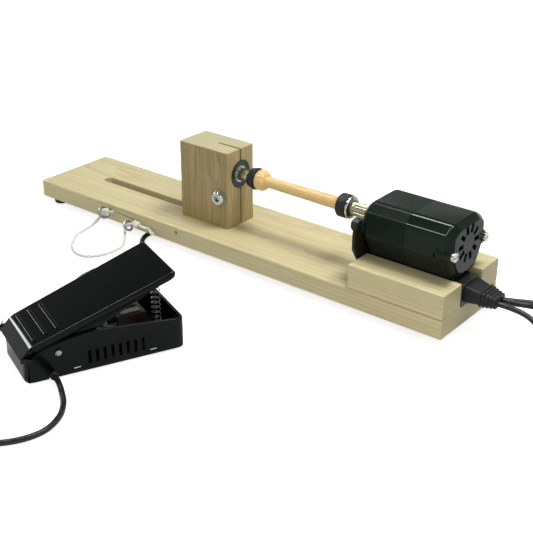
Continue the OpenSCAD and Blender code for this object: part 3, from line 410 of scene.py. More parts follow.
# Pressed steel of the bearing's covers: dark grey, with rings left by the press
shield_steel = metal("shield_steel", "#3F4341", "#1F2221", 0.36, marks_mm=(0.5, 4, 4),
                     metallic=0.9)
# Ground and turned steel of spindle, shaft and hinge: bright, with rings left by the tool along X
ground = metal("ground_steel", "#C2C1AE", "#77776A", 0.26, marks_mm=(0.35, 30, 30),
               depth_mm=0.002)
# Turned steel of the fluted hub: yellowish grey, painted darker all over as the shade that its
# flutes hold
turned_steel = metal("hub_steel_painted_dark", "#A8A58C", "#57564A", 0.3, marks_mm=(0.6, 30, 30),
                     depth_mm=0.002)
# Nickel plate on the socket head screw and the dished washer: bright and even
nickel = metal("nickel_plate", "#C6C9BC", "#8F9287", 0.24, marks_mm=2.0, depth_mm=0.002)
# Black oxide on bearing ring, thumb screws and bottom plate: dark grey with a dull shine
oxide = metal("black_oxide", "#3A3D3B", "#222423", 0.34, marks_mm=(0.4, 6, 6), metallic=0.8)
# Stacked laminations of stator and armature: steel with a line every 0.5 mm, drawn at 1 mm
laminated = metal("laminated_steel", "#9A9C97", "#5C5E5A", 0.4, marks_mm=(1.0, 60, 60),
                  depth_mm=0.05)
# Drawn brass of the plunger and the plug's blades: yellow, with lines along Z
brass = metal("drawn_brass", "#D1AC5A", "#B08A3E", 0.24, marks_mm=(0.6, 0.6, 20))
# Sintered bronze of the bushings: brown and porous
bronze = metal("sintered_bronze", "#B0895A", "#7E5E38", 0.45, marks_mm=0.7, depth_mm=0.03)
# Enamelled copper wire and the commutator's bars: reddish, with the lines of the winding
copper = metal("enamelled_copper", "#BE7447", "#8C4A28", 0.3, marks_mm=(12, 12, 0.6),
               depth_mm=0.05)
# Carbon of the brushes: soft black
carbon = moulded("carbon", "#1D1D1E", "#28282A", "#323234",
                 roughness=0.5, grain_mm=0.6, depth_mm=0.02)
# Spring steel of the return spring and the contact strips: grey with a clean shine
spring_steel = metal("spring_steel", "#8B8D86", "#585A54", 0.3, marks_mm=1.2, depth_mm=0.003)
# White cotton cord with a braided cover
cotton = braided("braided_cotton", "#F6F7F0", "#D3D5CA", strand_mm=0.9)
# Frayed ends of the cotton: unbleached and yellowish
fray = moulded("frayed_cotton", "#ECEDE2", "#D9D6BE", "#EFEDE3",
               roughness=0.85, grain_mm=0.4, depth_mm=0.05, Sheen_Weight=0.3)


# Meshes

# Points closer than this become one, and faces that turn less than this become one
SAME_POINT = 0.002*MM
SAME_FACE = radians(0.4)


def from_node(node):
    """A bmesh of a CAD node, its triangles merged into faces, ready for its edges to be rounded."""
    shape = bmesh.new()
    shape.from_mesh(frame["nodes"][node].data)
    bmesh.ops.remove_doubles(shape, verts=shape.verts, dist=SAME_POINT)
    bmesh.ops.dissolve_limit(shape, angle_limit=SAME_FACE, verts=shape.verts, edges=shape.edges)
    shape.verts.layers.float.new("worn")
    return shape


def rounded(shape, radius, segments=2, sharper=35, where=None):
    """Rounds the edges that turn more than sharper degrees, or those of them that where picks."""
    worn = shape.verts.layers.float["worn"]
    edges = []
    for edge in shape.edges:
        if not edge.is_manifold or edge.calc_face_angle() < radians(sharper):
            continue
        if where is None or where((edge.verts[0].co + edge.verts[1].co)/2):
            edges.append(edge)
    made = bmesh.ops.bevel(
        shape, geom=edges, offset=radius*MM, offset_type="OFFSET", segments=segments, profile=0.5,
        affect="EDGES", clamp_overlap=False, loop_slide=True, material=-1,
    )
    for vert in made["verts"]:
        vert[worn] = 1.0
    return shape


def turned(profile, steps=64, closed=False, place=Matrix()):
    """A body of revolution about X. The profile's points are (along, radius) in millimetres."""
    shape = bmesh.new()
    shape.verts.layers.float.new("worn")
    points = [shape.verts.new(mm(along, 0, radius)) for along, radius in profile]
    pairs = zip(points, points[1:] + ([points[0]] if closed else []))
    edges = [shape.edges.new(pair) for pair in pairs]
    bmesh.ops.spin(shape, geom=points + edges, cent=(0, 0, 0), axis=(1, 0, 0), angle=FULL_TURN,
                   steps=steps, use_merge=True)
    bmesh.ops.remove_doubles(shape, verts=shape.verts, dist=SAME_POINT/2)
    bmesh.ops.recalc_face_normals(shape, faces=shape.faces)
    bmesh.ops.transform(shape, matrix=place, verts=shape.verts)
    return shape


def along_y(node):
    """The place of a body turned about X that is to run along Y from the node's front."""
    centre = middle(node)
    front = Matrix.Translation((centre.x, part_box(node)[0].y, centre.z))
    return front @ Matrix.Rotation(pi/2, 4, "Z")


def knurled(shape, steps, start, end, radius, depth):
    """Presses a groove into every second step of a turned rim, before it is placed."""
    for vert in shape.verts:
        along, out = vert.co.x/MM, hypot(vert.co.y, vert.co.z)/MM
        step = round(atan2(vert.co.y, vert.co.z)/FULL_TURN*steps)
        if start < along < end and out > radius and step % 2 == 0:
            vert.co.y *= 1 - depth/out
            vert.co.z *= 1 - depth/out
    return shape


def placed(shape, place):
    """A bmesh moved by the matrix place."""
    bmesh.ops.transform(shape, matrix=place, verts=shape.verts)
    return shape


def joined(*shapes):
    """Several bmeshes as one."""
    whole = bmesh.new()
    whole.verts.layers.float.new("worn")
    for shape in shapes:
        scrap = bpy.data.meshes.new("scrap")
        shape.to_mesh(scrap)
        shape.free()
        whole.from_mesh(scrap)
        bpy.data.meshes.remove(scrap)
    return whole


def block(low, high, radius=0.0, segments=2):
    """A block between two corners in metres, its edges rounded."""
    shape = bmesh.new()
    shape.verts.layers.float.new("worn")
    size = Matrix.Diagonal((*(high - low), 1))
    bmesh.ops.create_cube(shape, size=1, matrix=Matrix.Translation((low + high)/2) @ size)
    return rounded(shape, radius, segments) if radius else shape


def open_curve(name, points, radius, sides=12):
    """A smooth Bezier curve of one open spline through the points, with a round section."""
    curve = bpy.data.curves.new(name, "CURVE")
    curve.dimensions = "3D"
    curve.bevel_depth = radius
    curve.bevel_resolution = (sides - 4)//2
    curve.resolution_u = 4
    curve.use_fill_caps = True
    curve.twist_mode = "Z_UP"
    spline = curve.splines.new("BEZIER")
    spline.bezier_points.add(len(points) - 1)
    ends = [2*points[0] - points[1], *points, 2*points[-1] - points[-2]]
    for i, knot in enumerate(spline.bezier_points):
        # Handles that let the curve run smoothly through its points
        lean = (ends[i + 2] - ends[i])/6
        knot.co = points[i]
        knot.handle_left_type = knot.handle_right_type = "FREE"
        knot.handle_left = points[i] - lean
        knot.handle_right = points[i] + lean
    made = in_scene(name, curve)
    bpy.context.view_layer.update()
    return made


def along_path(points, radius, sides):
    """A mesh tube with closed ends along a smooth curve through the points, in metres."""
    made = open_curve("path", points, radius, sides)
    smooth = made.evaluated_get(bpy.context.evaluated_depsgraph_get())
    tube = bpy.data.meshes.new_from_object(smooth)
    shape = bmesh.new()
    shape.from_mesh(tube)
    shape.verts.layers.float.new("worn")
    bpy.data.objects.remove(made)
    bpy.data.meshes.remove(tube)
    return shape


def settled(made, finish, nodes, on=None):
    """Gives a piece its finish, its body and slot, and lets it stand for its CAD nodes."""
    host = on or nodes[0]
    made.data.materials.clear()
    made.data.materials.append(finish)
    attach(made, frame["nodes"][host]["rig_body"])
    if nodes:
        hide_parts(*nodes)
    return made


def piece(name, shape, finish, *nodes, on=None, sharp=38, level=True):
    """A finished mesh object that stands for the nodes, or trim that sits on the node named by on.
    With level, its flat faces stay flat in the light and only its rounded edges catch it."""
    mesh = bpy.data.meshes.new(name)
    shape.to_mesh(mesh)
    shape.free()
    mesh.shade_smooth()
    mesh.set_sharp_from_angle(angle=radians(sharp))
    made = in_scene(name, mesh)
    if level:
        flat = made.modifiers.new("level_faces", "WEIGHTED_NORMAL")
        flat.keep_sharp = True
    return settled(made, finish, nodes, on)


def edged(name, node, finish, radius, segments=2, sharper=35):
    """A CAD node's own form with its sharp edges rounded."""
    return piece(name, rounded(from_node(node), radius, segments, sharper), finish, node)


# Leads and cord. Their routes are those of the solids, in millimetres.

LEAD_D = 5
EXIT_Z = 37
COIL_Z = 3.6
COIL_PITCH = 5.6
# The gland's place on the pedal, and how far its two ends are from the pedal's middle
GLAND_U, GLAND_H = 23, 4.2
GLAND_IN, GLAND_OUT = 26, 35

mains_route = [
    (273, 123.5, EXIT_Z), (285, 123.4, 37), (297, 122.4, 36.4), (308.5, 120, 33.8),
    (319, 114.3, 27.6), (328, 105, 18.7), (337.3, 93.6, 10.4), (348, 84.8, 5.6), (360, 81, 3.8),
]
mains_tail = [
    (393, 81.5, 8.4), (405, 84, 5.5), (417, 90, 3.2), (426.6, 99, 3.4), (432.2, 109.3, 5.8),
    (434, 119, 7.7), (434, 128, 8.1),
]
pedal_route = [
    (273, 132.5, EXIT_Z), (284.5, 133.4, 37), (295.5, 138.4, 36.4), (304.6, 147.6, 33),
    (311.4, 159.4, 26), (315, 173, 17), (314.5, 187, 9), (307, 199.5, 4), (294, 206.5, 2.7),
    (280, 207.5, 2.6), (267, 203.8, 2.6), (250, 195.5, 2.6), (225, 186, 2.6), (195, 176, 2.6),
    (165, 165.5, 2.6), (135, 154, 2.6), (105, 143, 2.6), (75, 132, 2.6), (45, 121.5, 2.6),
    (15, 115.5, 2.6), (-15, 113.5, 2.6), (-45, 113.5, 2.6), (-72, 115, 2.6),
    (-91.5, 114.3, 2.6), (-104.6, 110.4, 2.6), (-113.2, 101.2, 2.6), (-115.8, 89.1, 2.6),
    (-111.6, 77.5, 2.6), (-103.6, 67.4, 2.6), (-96.2, 57.4, 2.6), (-91.4, 46, 2.6),
    (-88.8, 34.5, 2.6), (-87, 18, 2.9), (-86, 3, 3.4),
]
pedal_return = [
    (-86, -31, 8.6), (-85, -43, 6), (-82, -58, 3.4), (-78, -77, 2.6), (-75, -100, 2.6),
    (-76, -124, 2.6), (-83, -148, 2.6), (-91, -174, 2.6), (-93, -202, 2.6), (-84, -230, 2.6),
    (-63, -254, 2.6), (-34, -268, 2.6), (-4, -272, 2.6), (25, -268, 2.6), (50, -256, 2.6),
    (67, -238, 2.6), (74, -217, 2.6), (69, -197, 2.6), (57.5, -182, 2.6), (43.5, -171.5, 3.4),
]
eye_route = [
    (-156.5, 73, 23.3), (-161, 73, 22), (-165, 73, 19.5), (-168.5, 72, 15.5), (-171, 69, 10.5),
    (-174, 63.5, 5.5), (-177, 55, 2.4), (-176, 45, 1.7), (-170, 35, 1.7), (-162.5, 25.5, 1.7),
    (-153.5, 17, 1.7), (-143.5, 12, 1.7), (-133.5, 11, 1.7), (-124.8, 15.6, 1.7),
    (-118.6, 24.7, 1.7), (-115.8, 36, 1.7), (-116.2, 47.5, 1.7), (-119.2, 57, 2.3),
    (-124, 63.6, 5), (-127.9, 67.6, 9.4), (-128.9, 70.1, 13.6), (-126.6, 71.6, 16.8),
    (-123, 73.4, 18), (-119.6, 75.8, 17.6), (-115.4, 77.6, 16.3), (-110, 78.6, 15.2),
    (-104, 79, 16),
]
STEPS_A_TURN = 24


def coil(centre, r_out, turns, start):
    """Centre line of a coil in two layers: it spirals in, climbs as it turns, and spirals out."""
    half = turns*180

    def at(turn):
        r = r_out - COIL_PITCH*min(turn, 2*half - turn)/360
        # The climb takes half a turn and starts and ends smoothly
        rise = min(max((turn - half + 90)/180, 0), 1)
        angle = radians(start + turn)
        return mm(centre[0] + r*cos(angle), centre[1] + r*sin(angle),
                  COIL_Z + COIL_PITCH*rise*rise*(3 - 2*rise))

    way = LEAD_D*mm(-sin(radians(start)), cos(radians(start)), 0)
    turning = [at(360/STEPS_A_TURN*i) for i in range(turns*STEPS_A_TURN + 1)]
    return [turning[0] - way, *turning, turning[-1] + way]


def points_of(route):
    """The points of a route, in metres."""
    return [mm(*point) for point in route]


mains_path = [
    *points_of(mains_route), *coil((377, 122), r_out=41, turns=9, start=270),
    *points_of(mains_tail),
]
pedal_path = [
    *points_of(pedal_route), *coil((-56, -15), r_out=30, turns=2, start=180),
    *points_of(pedal_return),
    on_pedal(GLAND_U, -43, GLAND_H), on_pedal(GLAND_U, -GLAND_OUT, GLAND_H),
]
eye_path = points_of(eye_route)

mains_flex = settled(open_curve("mains_flex", mains_path, LEAD_D/2*MM), sheath,
                     ["mains_lead", "mains_coil"])
pedal_flex = settled(open_curve("pedal_flex", pedal_path, LEAD_D/2*MM), sheath,
                     ["pedal_lead", "pedal_coil"])

CORD_R = 1.5*MM
BRAID_STEP = 2.2*MM
BRAID_STRANDS = 8


def eye_string():
    """The white cord through both eyes. Its braid follows its own UV map, in strands."""
    shape = along_path(eye_path, CORD_R, 10)
    layer = shape.loops.layers.uv.active
    length = sum((b - a).length for a, b in zip(eye_path, eye_path[1:]))
    repeats = round(length/(2*BRAID_STEP))
    for face in shape.faces:
        for loop in face.loops:
            u, v = loop[layer].uv
            loop[layer].uv = (u*repeats, v*BRAID_STRANDS/2)
    return piece("eye_string", shape, cotton, "eye_cord", level=False)


KNOT_CORD_R = 0.9*CORD_R
KNOT_TURNS = 2.2
KNOT_POINTS = 34
# A knot's length, the swing of its wraps to and fro, and how much they swell, over its radius
KNOT_LENGTH, KNOT_SWING, KNOT_SWELL = 2.1, 0.35, 0.22
SWELLS_A_TURN = 1.5


def overhand(name, centre, way, size):
    """A pulled-tight overhand knot round the cord at centre: wraps that cross themselves."""
    side = way.cross(Z).normalized()
    up = side.cross(way)
    points = []
    for i in range(KNOT_POINTS + 1):
        t = i/KNOT_POINTS
        angle = t*KNOT_TURNS*FULL_TURN
        r = size*(1 + KNOT_SWELL*sin(angle*SWELLS_A_TURN))
        shift = size*((t - 0.5)*KNOT_LENGTH + KNOT_SWING*sin(angle))
        points.append(centre + way*shift + (side*cos(angle) + up*sin(angle))*r)
    return piece(name, along_path(points, KNOT_CORD_R, 8), fray, on="eye_screws")


STRAND_R = 0.32*MM
STRAND_SPREAD = 0.96*MM
STRAND_LEAN = 0.175
STRAND_SAG = 1.2*MM


def frayed(name, root, way, count, length, seed):
    """Loose strands at the cord's cut end: each leaves it at its own place, leans out and sags."""
    chance = random.Random(seed)
    strands = []
    for _ in range(count):
        spread = Vector([chance.uniform(-1, 1) for _ in range(3)])*STRAND_SPREAD
        lean = Vector([chance.uniform(-1, 1) for _ in range(3)])*STRAND_LEAN
        points = []
        for t in (0, 0.35, 0.7, 1):
            bend = (lean*length - Z*STRAND_SAG)*t*t
            points.append(root + spread + way*length*t + bend)
        strands.append(along_path(points, STRAND_R, 6))
    return piece(name, joined(*strands), fray, on="eye_screws")


string = eye_string()
LEFT_KNOT, RIGHT_KNOT = 1, 23
left_way = (eye_path[LEFT_KNOT - 1] - eye_path[LEFT_KNOT + 1]).normalized()
right_way = (eye_path[RIGHT_KNOT + 1] - eye_path[RIGHT_KNOT - 1]).normalized()
knots = [
    overhand("left_knot", eye_path[LEFT_KNOT], left_way, 2.1*MM),
    overhand("right_knot", eye_path[RIGHT_KNOT], right_way, 2.7*MM),
    frayed("left_fray", eye_path[0], (eye_path[0] - eye_path[1]).normalized(), 9, 6*MM, 3),
    frayed("right_fray", eye_path[-1], Vector((0.85, -0.1, -0.5)).normalized(), 24, 7*MM, 5),
]


# Wooden pieces

edged("planed_board", "base_board", board_beech, 0.9)
edged("front_cradle", "rail_front", board_beech, 1.1, segments=3)
edged("rear_cradle", "rail_rear", board_beech, 1.1, segments=3)
edged("kerfed_block", "tail_block", block_beech, 0.6)

bobbin_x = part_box("bobbin")[0].x
bobbin_l = extent("bobbin").x/MM


def bobbin_form():
    """The bobbin: a flared head at the tail, a long barrel that widens a little, a foot."""
    head, neck, barrel_end, foot, bore = 10.4, 5.5, 6.3, 8.5, 2.5
    flare_at, flare_l = 5.5, 6
    barrel_at, barrel_l = 12, bobbin_l - 18.5
    foot_l, foot_flare = 6, 4
    profile = [(0, bore), (0, 8.3), (0.4, 8.9), (1.2, 9.7), (2.0, 10.2), (3.0, head)]
    for i in range(1, 9):
        a = radians(i*90/8)
        profile.append((flare_at + flare_l*sin(a), neck + (head - neck)*cos(a)))
    for share in (0.10, 0.30, 0.50, 0.70, 0.90):
        profile.append((barrel_at + barrel_l*share, neck + (barrel_end - neck)*share))
    for i in range(7):
        a = radians(i*90/6)
        widening = (foot - barrel_end)*(1 - cos(a))
        profile.append((bobbin_l - foot_l + foot_flare*sin(a), barrel_end + widening))
    profile += [(bobbin_l - 0.5, foot), (bobbin_l, foot - 0.5), (bobbin_l, bore)]
    return turned(profile, 72, closed=True, place=Matrix.Translation(on_axis(bobbin_x)))


piece("turned_bobbin", bobbin_form(), bobbin_birch, "bobbin")


# Bearing, spindle and drive

edged("bearing_ring", "bearing_outer", oxide, 0.35)
edged("bearing_covers", "bearing_shields", shield_steel, 0.12)
edged("bearing_race", "bearing_inner", zinc, 0.3)
edged("spindle_bar", "tail_spindle", ground, 0.45)
edged("drive_cone", "tail_ring", rubber, 0.6)
edged("drive_tyre", "drive_ring", rubber, 0.5, sharper=50)
edged("dished_washer", "drive_washer", nickel, 0.35)
edged("fluted_hub", "drive_hub", turned_steel, 0.05, segments=1, sharper=60)
edged("motor_spindle", "rotor_shaft", ground, 0.3)

PINCH_STEPS = 72
HEXAGON_R = 3.4


def socket_screw():
    """The socket head screw that closes the kerf: knurled rim, chamfers, hexagon socket."""
    length = extent("pinch_screw").y/MM
    thread = [(length, 0), (length, 3.4), (length - 0.7, 4.0)]
    head = [(3.4, 4.0), (3.4, 7.35), (3.1, 7.5), (1.3, 7.5), (0.4, 6.75), (0, 6.2)]
    socket = [(0, 3.98), (0.35, 3.75), (2.4, 3.55), (2.4, 0)]
    body = turned(thread + head + socket, PINCH_STEPS)
    knurled(body, PINCH_STEPS, start=1.2, end=3.3, radius=7.3, depth=0.25)
    # The round wall of the socket becomes a hexagon
    for vert in body.verts:
        out = hypot(vert.co.y, vert.co.z)
        if 0.3*MM < vert.co.x < 2.5*MM and 2*MM < out < 3.8*MM:
            angle = atan2(vert.co.y, vert.co.z) % (FULL_TURN/6) - FULL_TURN/12
            flat = HEXAGON_R*MM*cos(FULL_TURN/12)/cos(angle)
            vert.co.y *= flat/out
            vert.co.z *= flat/out
    return placed(body, along_y("pinch_screw"))


piece("kerf_screw", socket_screw(), nickel, "pinch_screw", sharp=30)
edged("kerf_nut", "pinch_fittings", zinc, 0.4)
edged("slide_stud", "clamp_stud", zinc, 0.4)
edged("slide_knob", "clamp_knob", pvc, 0.8, segments=3)
edged("grub_screw", "hub_set_screw", oxide, 0.1)


# Feet and screws under the board

FEET_AT = [(14, 14), (14, 84), (490, 20), (490, 78)]


def feet():
    """Four rubber feet with a rounded tread and a recess for the screw's head."""
    low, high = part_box("rubber_feet")
    tall = (high.z - low.z)/MM
    profile = [
        (tall, 1.75), (tall, 8.2), (tall - 0.4, 8.5), (1.6, 7.7), (0.5, 7.3), (0, 6.6),
        (0, 4.9), (0.4, 4.5), (4.5, 4.5), (4.5, 1.75),
    ]
    upright = Matrix.Rotation(-pi/2, 4, "Y")
    corner = Vector((board_corner.x, board_corner.y, low.z))
    places = [Matrix.Translation(corner + mm(x, y, 0)) @ upright for x, y in FEET_AT]
    return joined(*[turned(profile, 40, closed=True, place=place) for place in places])


piece("moulded_feet", feet(), rubber, "rubber_feet")
edged("foot_screws", "wood_screws", zinc, 0.35)
edged("cradle_screws", "rail_screws", zinc, 0.3)


# Screw eyes, bent from wire

EYE_WIRE = 2.4
SHANK_IN, NECK_OUT = 12, 2.2
EYE_LEAN = radians(35)
RING_FROM, RING_TO, RING_STEPS = 16, 346, 26


def screw_eye(at, ring_d):
    """One screw eye: a plain shank, a neck, and a ring that closes against the neck."""
    centre = board_corner + mm(*at)
    r = (ring_d - EYE_WIRE)/2*MM
    out = Vector((-sin(EYE_LEAN), 0, cos(EYE_LEAN)))
    deep = Vector((centre.x, board_corner.y + SHANK_IN*MM, centre.z))
    shank = [deep - Y*step*MM for step in (0, 4, 8)]
    neck = Vector((centre.x, centre.y + r + NECK_OUT*MM, centre.z))
    ring = []
    for k in range(RING_STEPS + 1):
        a = radians(RING_FROM + k*(RING_TO - RING_FROM)/RING_STEPS)
        ring.append(centre + r*(Y*cos(a) + out*sin(a)))
    return along_path([*shank, neck, *ring], EYE_WIRE/2*MM, 10)


eyes = joined(screw_eye((108, -9, 11.5), ring_d=14), screw_eye((147, -11, 8), ring_d=12.5))
piece("screw_eyes", eyes, zinc, "eye_screws")


# Motor

shell_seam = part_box("motor_front_shell")[1].x
SHELL_EDGE, FINE_EDGE = 1.5, 0.35
# The casing's outer edges are further from the shaft than the first of these, and its bosses
# and holes nearer than the second
OUTER_FROM, INNER_TO = 24*MM, 22*MM


def off_axis(point):
    """How far a point is from the shaft's axis."""
    return hypot(point.y - axis.y, point.z - axis.z)


def at_seam(point):
    """Whether a point lies where the two shells meet."""
    return abs(point.x - shell_seam) < 0.3*MM


def shell(node):
    """Half of the casing: wide rounding on its outer edges, fine on its seam, bosses and holes."""
    def outer_edges(point):
        return off_axis(point) > OUTER_FROM and not at_seam(point)

    def inner_edges(point):
        return off_axis(point) < INNER_TO or at_seam(point)

    shape = from_node(node)
    rounded(shape, SHELL_EDGE, segments=3, sharper=24, where=outer_edges)
    return rounded(shape, FINE_EDGE, sharper=45, where=inner_edges)


piece("front_casing", shell("motor_front_shell"), dull_phenolic, "motor_front_shell", sharp=30)
piece("rear_casing", shell("motor_rear_shell"), phenolic, "motor_rear_shell", sharp=30)
edged("angle_bracket", "motor_bracket", enamel, 0.5)
edged("casing_screws", "motor_case_screws", nickel, 0.35, sharper=50)
edged("field_core", "stator_core", laminated, 0.15)
edged("field_coils", "stator_coils", copper, 1.2, segments=3)
edged("oilless_bushings", "shaft_bushings", bronze, 0.3)
edged("holder_boxes", "brush_holders", nylon, 0.3)
edged("carbon_brushes", "brushes", carbon, 0.2)
edged("drum", "armature", laminated, 0.15)
edged("commutator_bars", "commutator", copper, 0.08)
edged("fan_wheel", "cooling_fan", nylon, 0.15)
edged("inlet_socket", "motor_socket", pvc, 0.6)
edged("connector_body", "plug_block", pvc, 0.6)
edged("ribbed_relief", "plug_relief", pvc, 0.35, sharper=40)

THUMB_STEPS = 64
THUMB_R = 6.5


def thumb_screws():
    """Two round screws with knurled rims and bevelled faces."""
    low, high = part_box("motor_thumb_screws")
    length = (high.x - low.x)/MM
    height = (low.z + high.z)/2
    profile = [
        (0, 0), (0, 3.9), (0.4, 4.5), (2.0, 6.3), (2.5, THUMB_R), (7.4, THUMB_R), (8, 6.1),
        (8, 2.5), (length - 0.5, 2.5), (length, 2.0), (length, 0),
    ]
    made = []
    for y in (low.y + THUMB_R*MM, high.y - THUMB_R*MM):
        screw = turned(profile, THUMB_STEPS)
        knurled(screw, THUMB_STEPS, start=2.2, end=7.6, radius=6.3, depth=0.25)
        made.append(placed(screw, Matrix.Translation((low.x, y, height))))
    return joined(*made)


piece("thumb_screws", thumb_screws(), oxide, "motor_thumb_screws", sharp=30)


# Mains plug on its coil, and the coils' ties

# The neck reaches a little into the grip
GRIP_FROM, NECK_L = 16, 16.4
NECK_RIBS, RIB_STEP = 6, 2.4
GRIP_R = 4.6


def plug():
    """Two-blade plug: ribbed neck, rounded grip."""
    low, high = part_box("mains_plug")
    ribs = []
    for k in range(NECK_RIBS):
        at = 1.5 + RIB_STEP*k
        ribs += [(at, 3.6 + 0.3*k), (at + 0.3, 4.1 + 0.28*k),
                 (at + 1.2, 4.15 + 0.28*k), (at + 1.5, 3.7 + 0.3*k)]
    profile = [(0, 0), (0, 3.2), (0.5, 3.5), *ribs, (NECK_L, 5.4), (NECK_L, 0)]
    neck = turned(profile, 40, place=along_y("mains_plug"))

    def long_corners(point):
        beside = min(abs(point.x - low.x), abs(point.x - high.x))
        above = min(abs(point.z - low.z), abs(point.z - high.z))
        return beside < 0.1*MM and above < 0.1*MM

    grip = block(Vector((low.x, low.y + GRIP_FROM*MM, low.z)), high)
    rounded(grip, GRIP_R, segments=5, where=long_corners)
    rounded(grip, 1.2, segments=3, sharper=60)
    return joined(neck, grip)


plug_piece = piece("moulded_plug", plug(), pvc, "mains_plug")
blades = edged("plug_pins", "plug_blades", brass, 0.25)
mains_band = edged("mains_band", "mains_tie", rubber, 0.25)
pedal_band = edged("pedal_band", "pedal_tie", rubber, 0.25)


# Pedal

HINGE_U, HINGE_H = 28, 25
CREASE_U, CREASE_H = 7.5, 34.6
SLOPE = radians(17.9)
# The base is this long, and this wide from its middle at heel and toe
PEDAL_L, HEEL_HALF, TOE_HALF = 140, 31, 35.5


def top_of_treadle(u):
    """The height of the treadle's slope at u, in millimetres."""
    return CREASE_H + (u - CREASE_U)*tan(SLOPE)


def round_pedal(shape, radius, segments, picks, sharper=35):
    """Rounds those sharp edges of the pedal whose middle, as u, n and h, picks accepts."""
    def where(point):
        return picks(*pedal_local(point))

    return rounded(shape, radius, segments, sharper, where)


RIBS_FROM, RIBS_TO, RIBS_HALF = 9, 35, 24.6
# The treadle's outline is what lies further out than this to the sides and towards the toe
OUTLINE_N, OUTLINE_U = 28.2, 131


def treadle():
    """The treadle: a soft crease over the heel, rolled rims, three grip ribs, thin skirts."""
    def crease(u, n, h):
        return abs(u - CREASE_U) < 0.3 and abs(h - CREASE_H) < 0.3

    def ribs(u, n, h):
        on_ribs = RIBS_FROM < u < RIBS_TO and abs(n) < RIBS_HALF
        return on_ribs and 0.1 < h - top_of_treadle(u) < 3

    def outline(u, n):
        return abs(n) > OUTLINE_N or u > OUTLINE_U

    def rims(u, n, h):
        return outline(u, n) and (u < 7 or h > top_of_treadle(u) - 1)

    def lips(u, n, h):
        return outline(u, n) and u > 12 and h < top_of_treadle(u) - 4

    shape = from_node("treadle")
    round_pedal(shape, 0.7, 3, ribs)
    round_pedal(shape, 3.2, 5, crease, sharper=18)
    round_pedal(shape, 2.4, 6, rims, sharper=33)
    return round_pedal(shape, 0.6, 3, lips, sharper=33)


piece("moulded_treadle", treadle(), abs_gloss, "treadle", sharp=30)

RIM_ABOVE, FOOT_BELOW = 20.5, 1.7


def pedal_body():
    """The pedal's base: rounded top rim and foot, crisp vents."""
    def rim(u, n, h):
        return h > RIM_ABOVE and (abs(n) > 28 or u < 3 or u > PEDAL_L - 3)

    def foot(u, n, h):
        return h < FOOT_BELOW and (abs(n) > 30 or u < 2 or u > PEDAL_L - 1)

    shape = from_node("pedal_base")
    round_pedal(shape, 0.8, 3, rim)
    return round_pedal(shape, 0.9, 3, foot)


piece("pedal_body", pedal_body(), abs_gloss, "pedal_base", sharp=30)

TAB_SLOTS, TAB_SLOT_L = (40, 107), 7


def side_tabs():
    """Bright spring tabs that show in the four slots near the floor."""
    tabs = []
    for u in TAB_SLOTS:
        for side in (-1, 1):
            share = (u + TAB_SLOT_L/2)/PEDAL_L
            wall = side*(HEEL_HALF + (TOE_HALF - HEEL_HALF)*share)
            n = wall - side*1.1
            tab = block(mm(u + 0.4, n - 0.5, 5.6), mm(u + TAB_SLOT_L - 0.4, n + 0.5, 6.9),
                        radius=0.15, segments=1)
            tabs.append(placed(tab, pedal_turned))
    return joined(*tabs)


piece("side_tabs", side_tabs(), nickel, on="pedal_base")
edged("bottom_plate", "pedal_bottom", oxide, 0.4)
edged("pedal_pads", "pedal_feet", rubber, 0.4)
edged("plate_screws", "pedal_screws", zinc, 0.3)
edged("contact_carrier", "contact_block", contact_phenolic, 0.7, segments=3)
edged("contact_springs", "contact_strips", spring_steel, 0.15)
edged("push_pin", "plunger", brass, 0.3)


def out_of_side(u, n, h):
    """The place on the pedal of a body turned about X, its X pointing out of the -N side."""
    return pedal_turned @ Matrix.Translation(mm(u, n, h)) @ Matrix.Rotation(-pi/2, 4, "Z")


def hinge():
    """The hinge pin, with a domed head on its -N side and a chamfered far end."""
    half = 33.05
    profile = [
        (-half + 1.0, 0), (-half + 1.0, 1.6), (-half + 1.5, 2.2), (half - 0.2, 2.2),
        (half - 0.2, 2.7), (half + 0.5, 2.6), (half + 0.9, 2.0), (half + 1.1, 1.1),
        (half + 1.15, 0),
    ]
    return turned(profile, 48, place=out_of_side(HINGE_U, 0, HINGE_H))


piece("hinge_rod", hinge(), ground, "hinge_pin")


def gland():
    """The lead's rubber gland: a tapered sleeve with three rings round it."""
    rings = []
    for k in range(3):
        at = 2.6 + 1.9*k
        sleeve, ring = 3.5 - 0.12*k, 3.9 - 0.15*k
        rings += [(at, sleeve), (at + 0.35, ring), (at + 1.0, ring), (at + 1.35, sleeve)]
    length = GLAND_OUT - GLAND_IN
    profile = [(0, 2.55), (0, 3.95), (2.0, 3.95), *rings, (length, 3.0), (length, 2.55)]
    return turned(profile, 40, closed=True, place=out_of_side(GLAND_U, -GLAND_IN, GLAND_H))


piece("lead_gland", gland(), rubber, "pedal_gland")

SPRING_TURNS, SPRING_STEPS = 13, 12
SPRING_WIRE, SPRING_R = 0.9*MM, 3.8*MM
END_COIL_RISE = 0.02


def spring():
    """The return spring, with closed end coils."""
    low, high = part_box("return_spring")
    centre = middle("return_spring")
    bottom, top = low.z + SPRING_WIRE/2, high.z - SPRING_WIRE/2
    points = []
    for i in range(SPRING_TURNS*SPRING_STEPS + 1):
        turn = i/SPRING_STEPS
        if turn < 1:
            share = END_COIL_RISE*turn
        elif turn > SPRING_TURNS - 1:
            share = 1 - END_COIL_RISE*(SPRING_TURNS - turn)
        else:
            share = END_COIL_RISE + (1 - 2*END_COIL_RISE)*(turn - 1)/(SPRING_TURNS - 2)
        angle = turn*FULL_TURN
        points.append(Vector((centre.x + SPRING_R*cos(angle), centre.y + SPRING_R*sin(angle),
                              bottom + (top - bottom)*share)))
    coils = along_path(points, SPRING_WIRE/2, 6)
    made = piece("wire_spring", coils, spring_steel, "return_spring", level=False)
    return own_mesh(made)


spring()

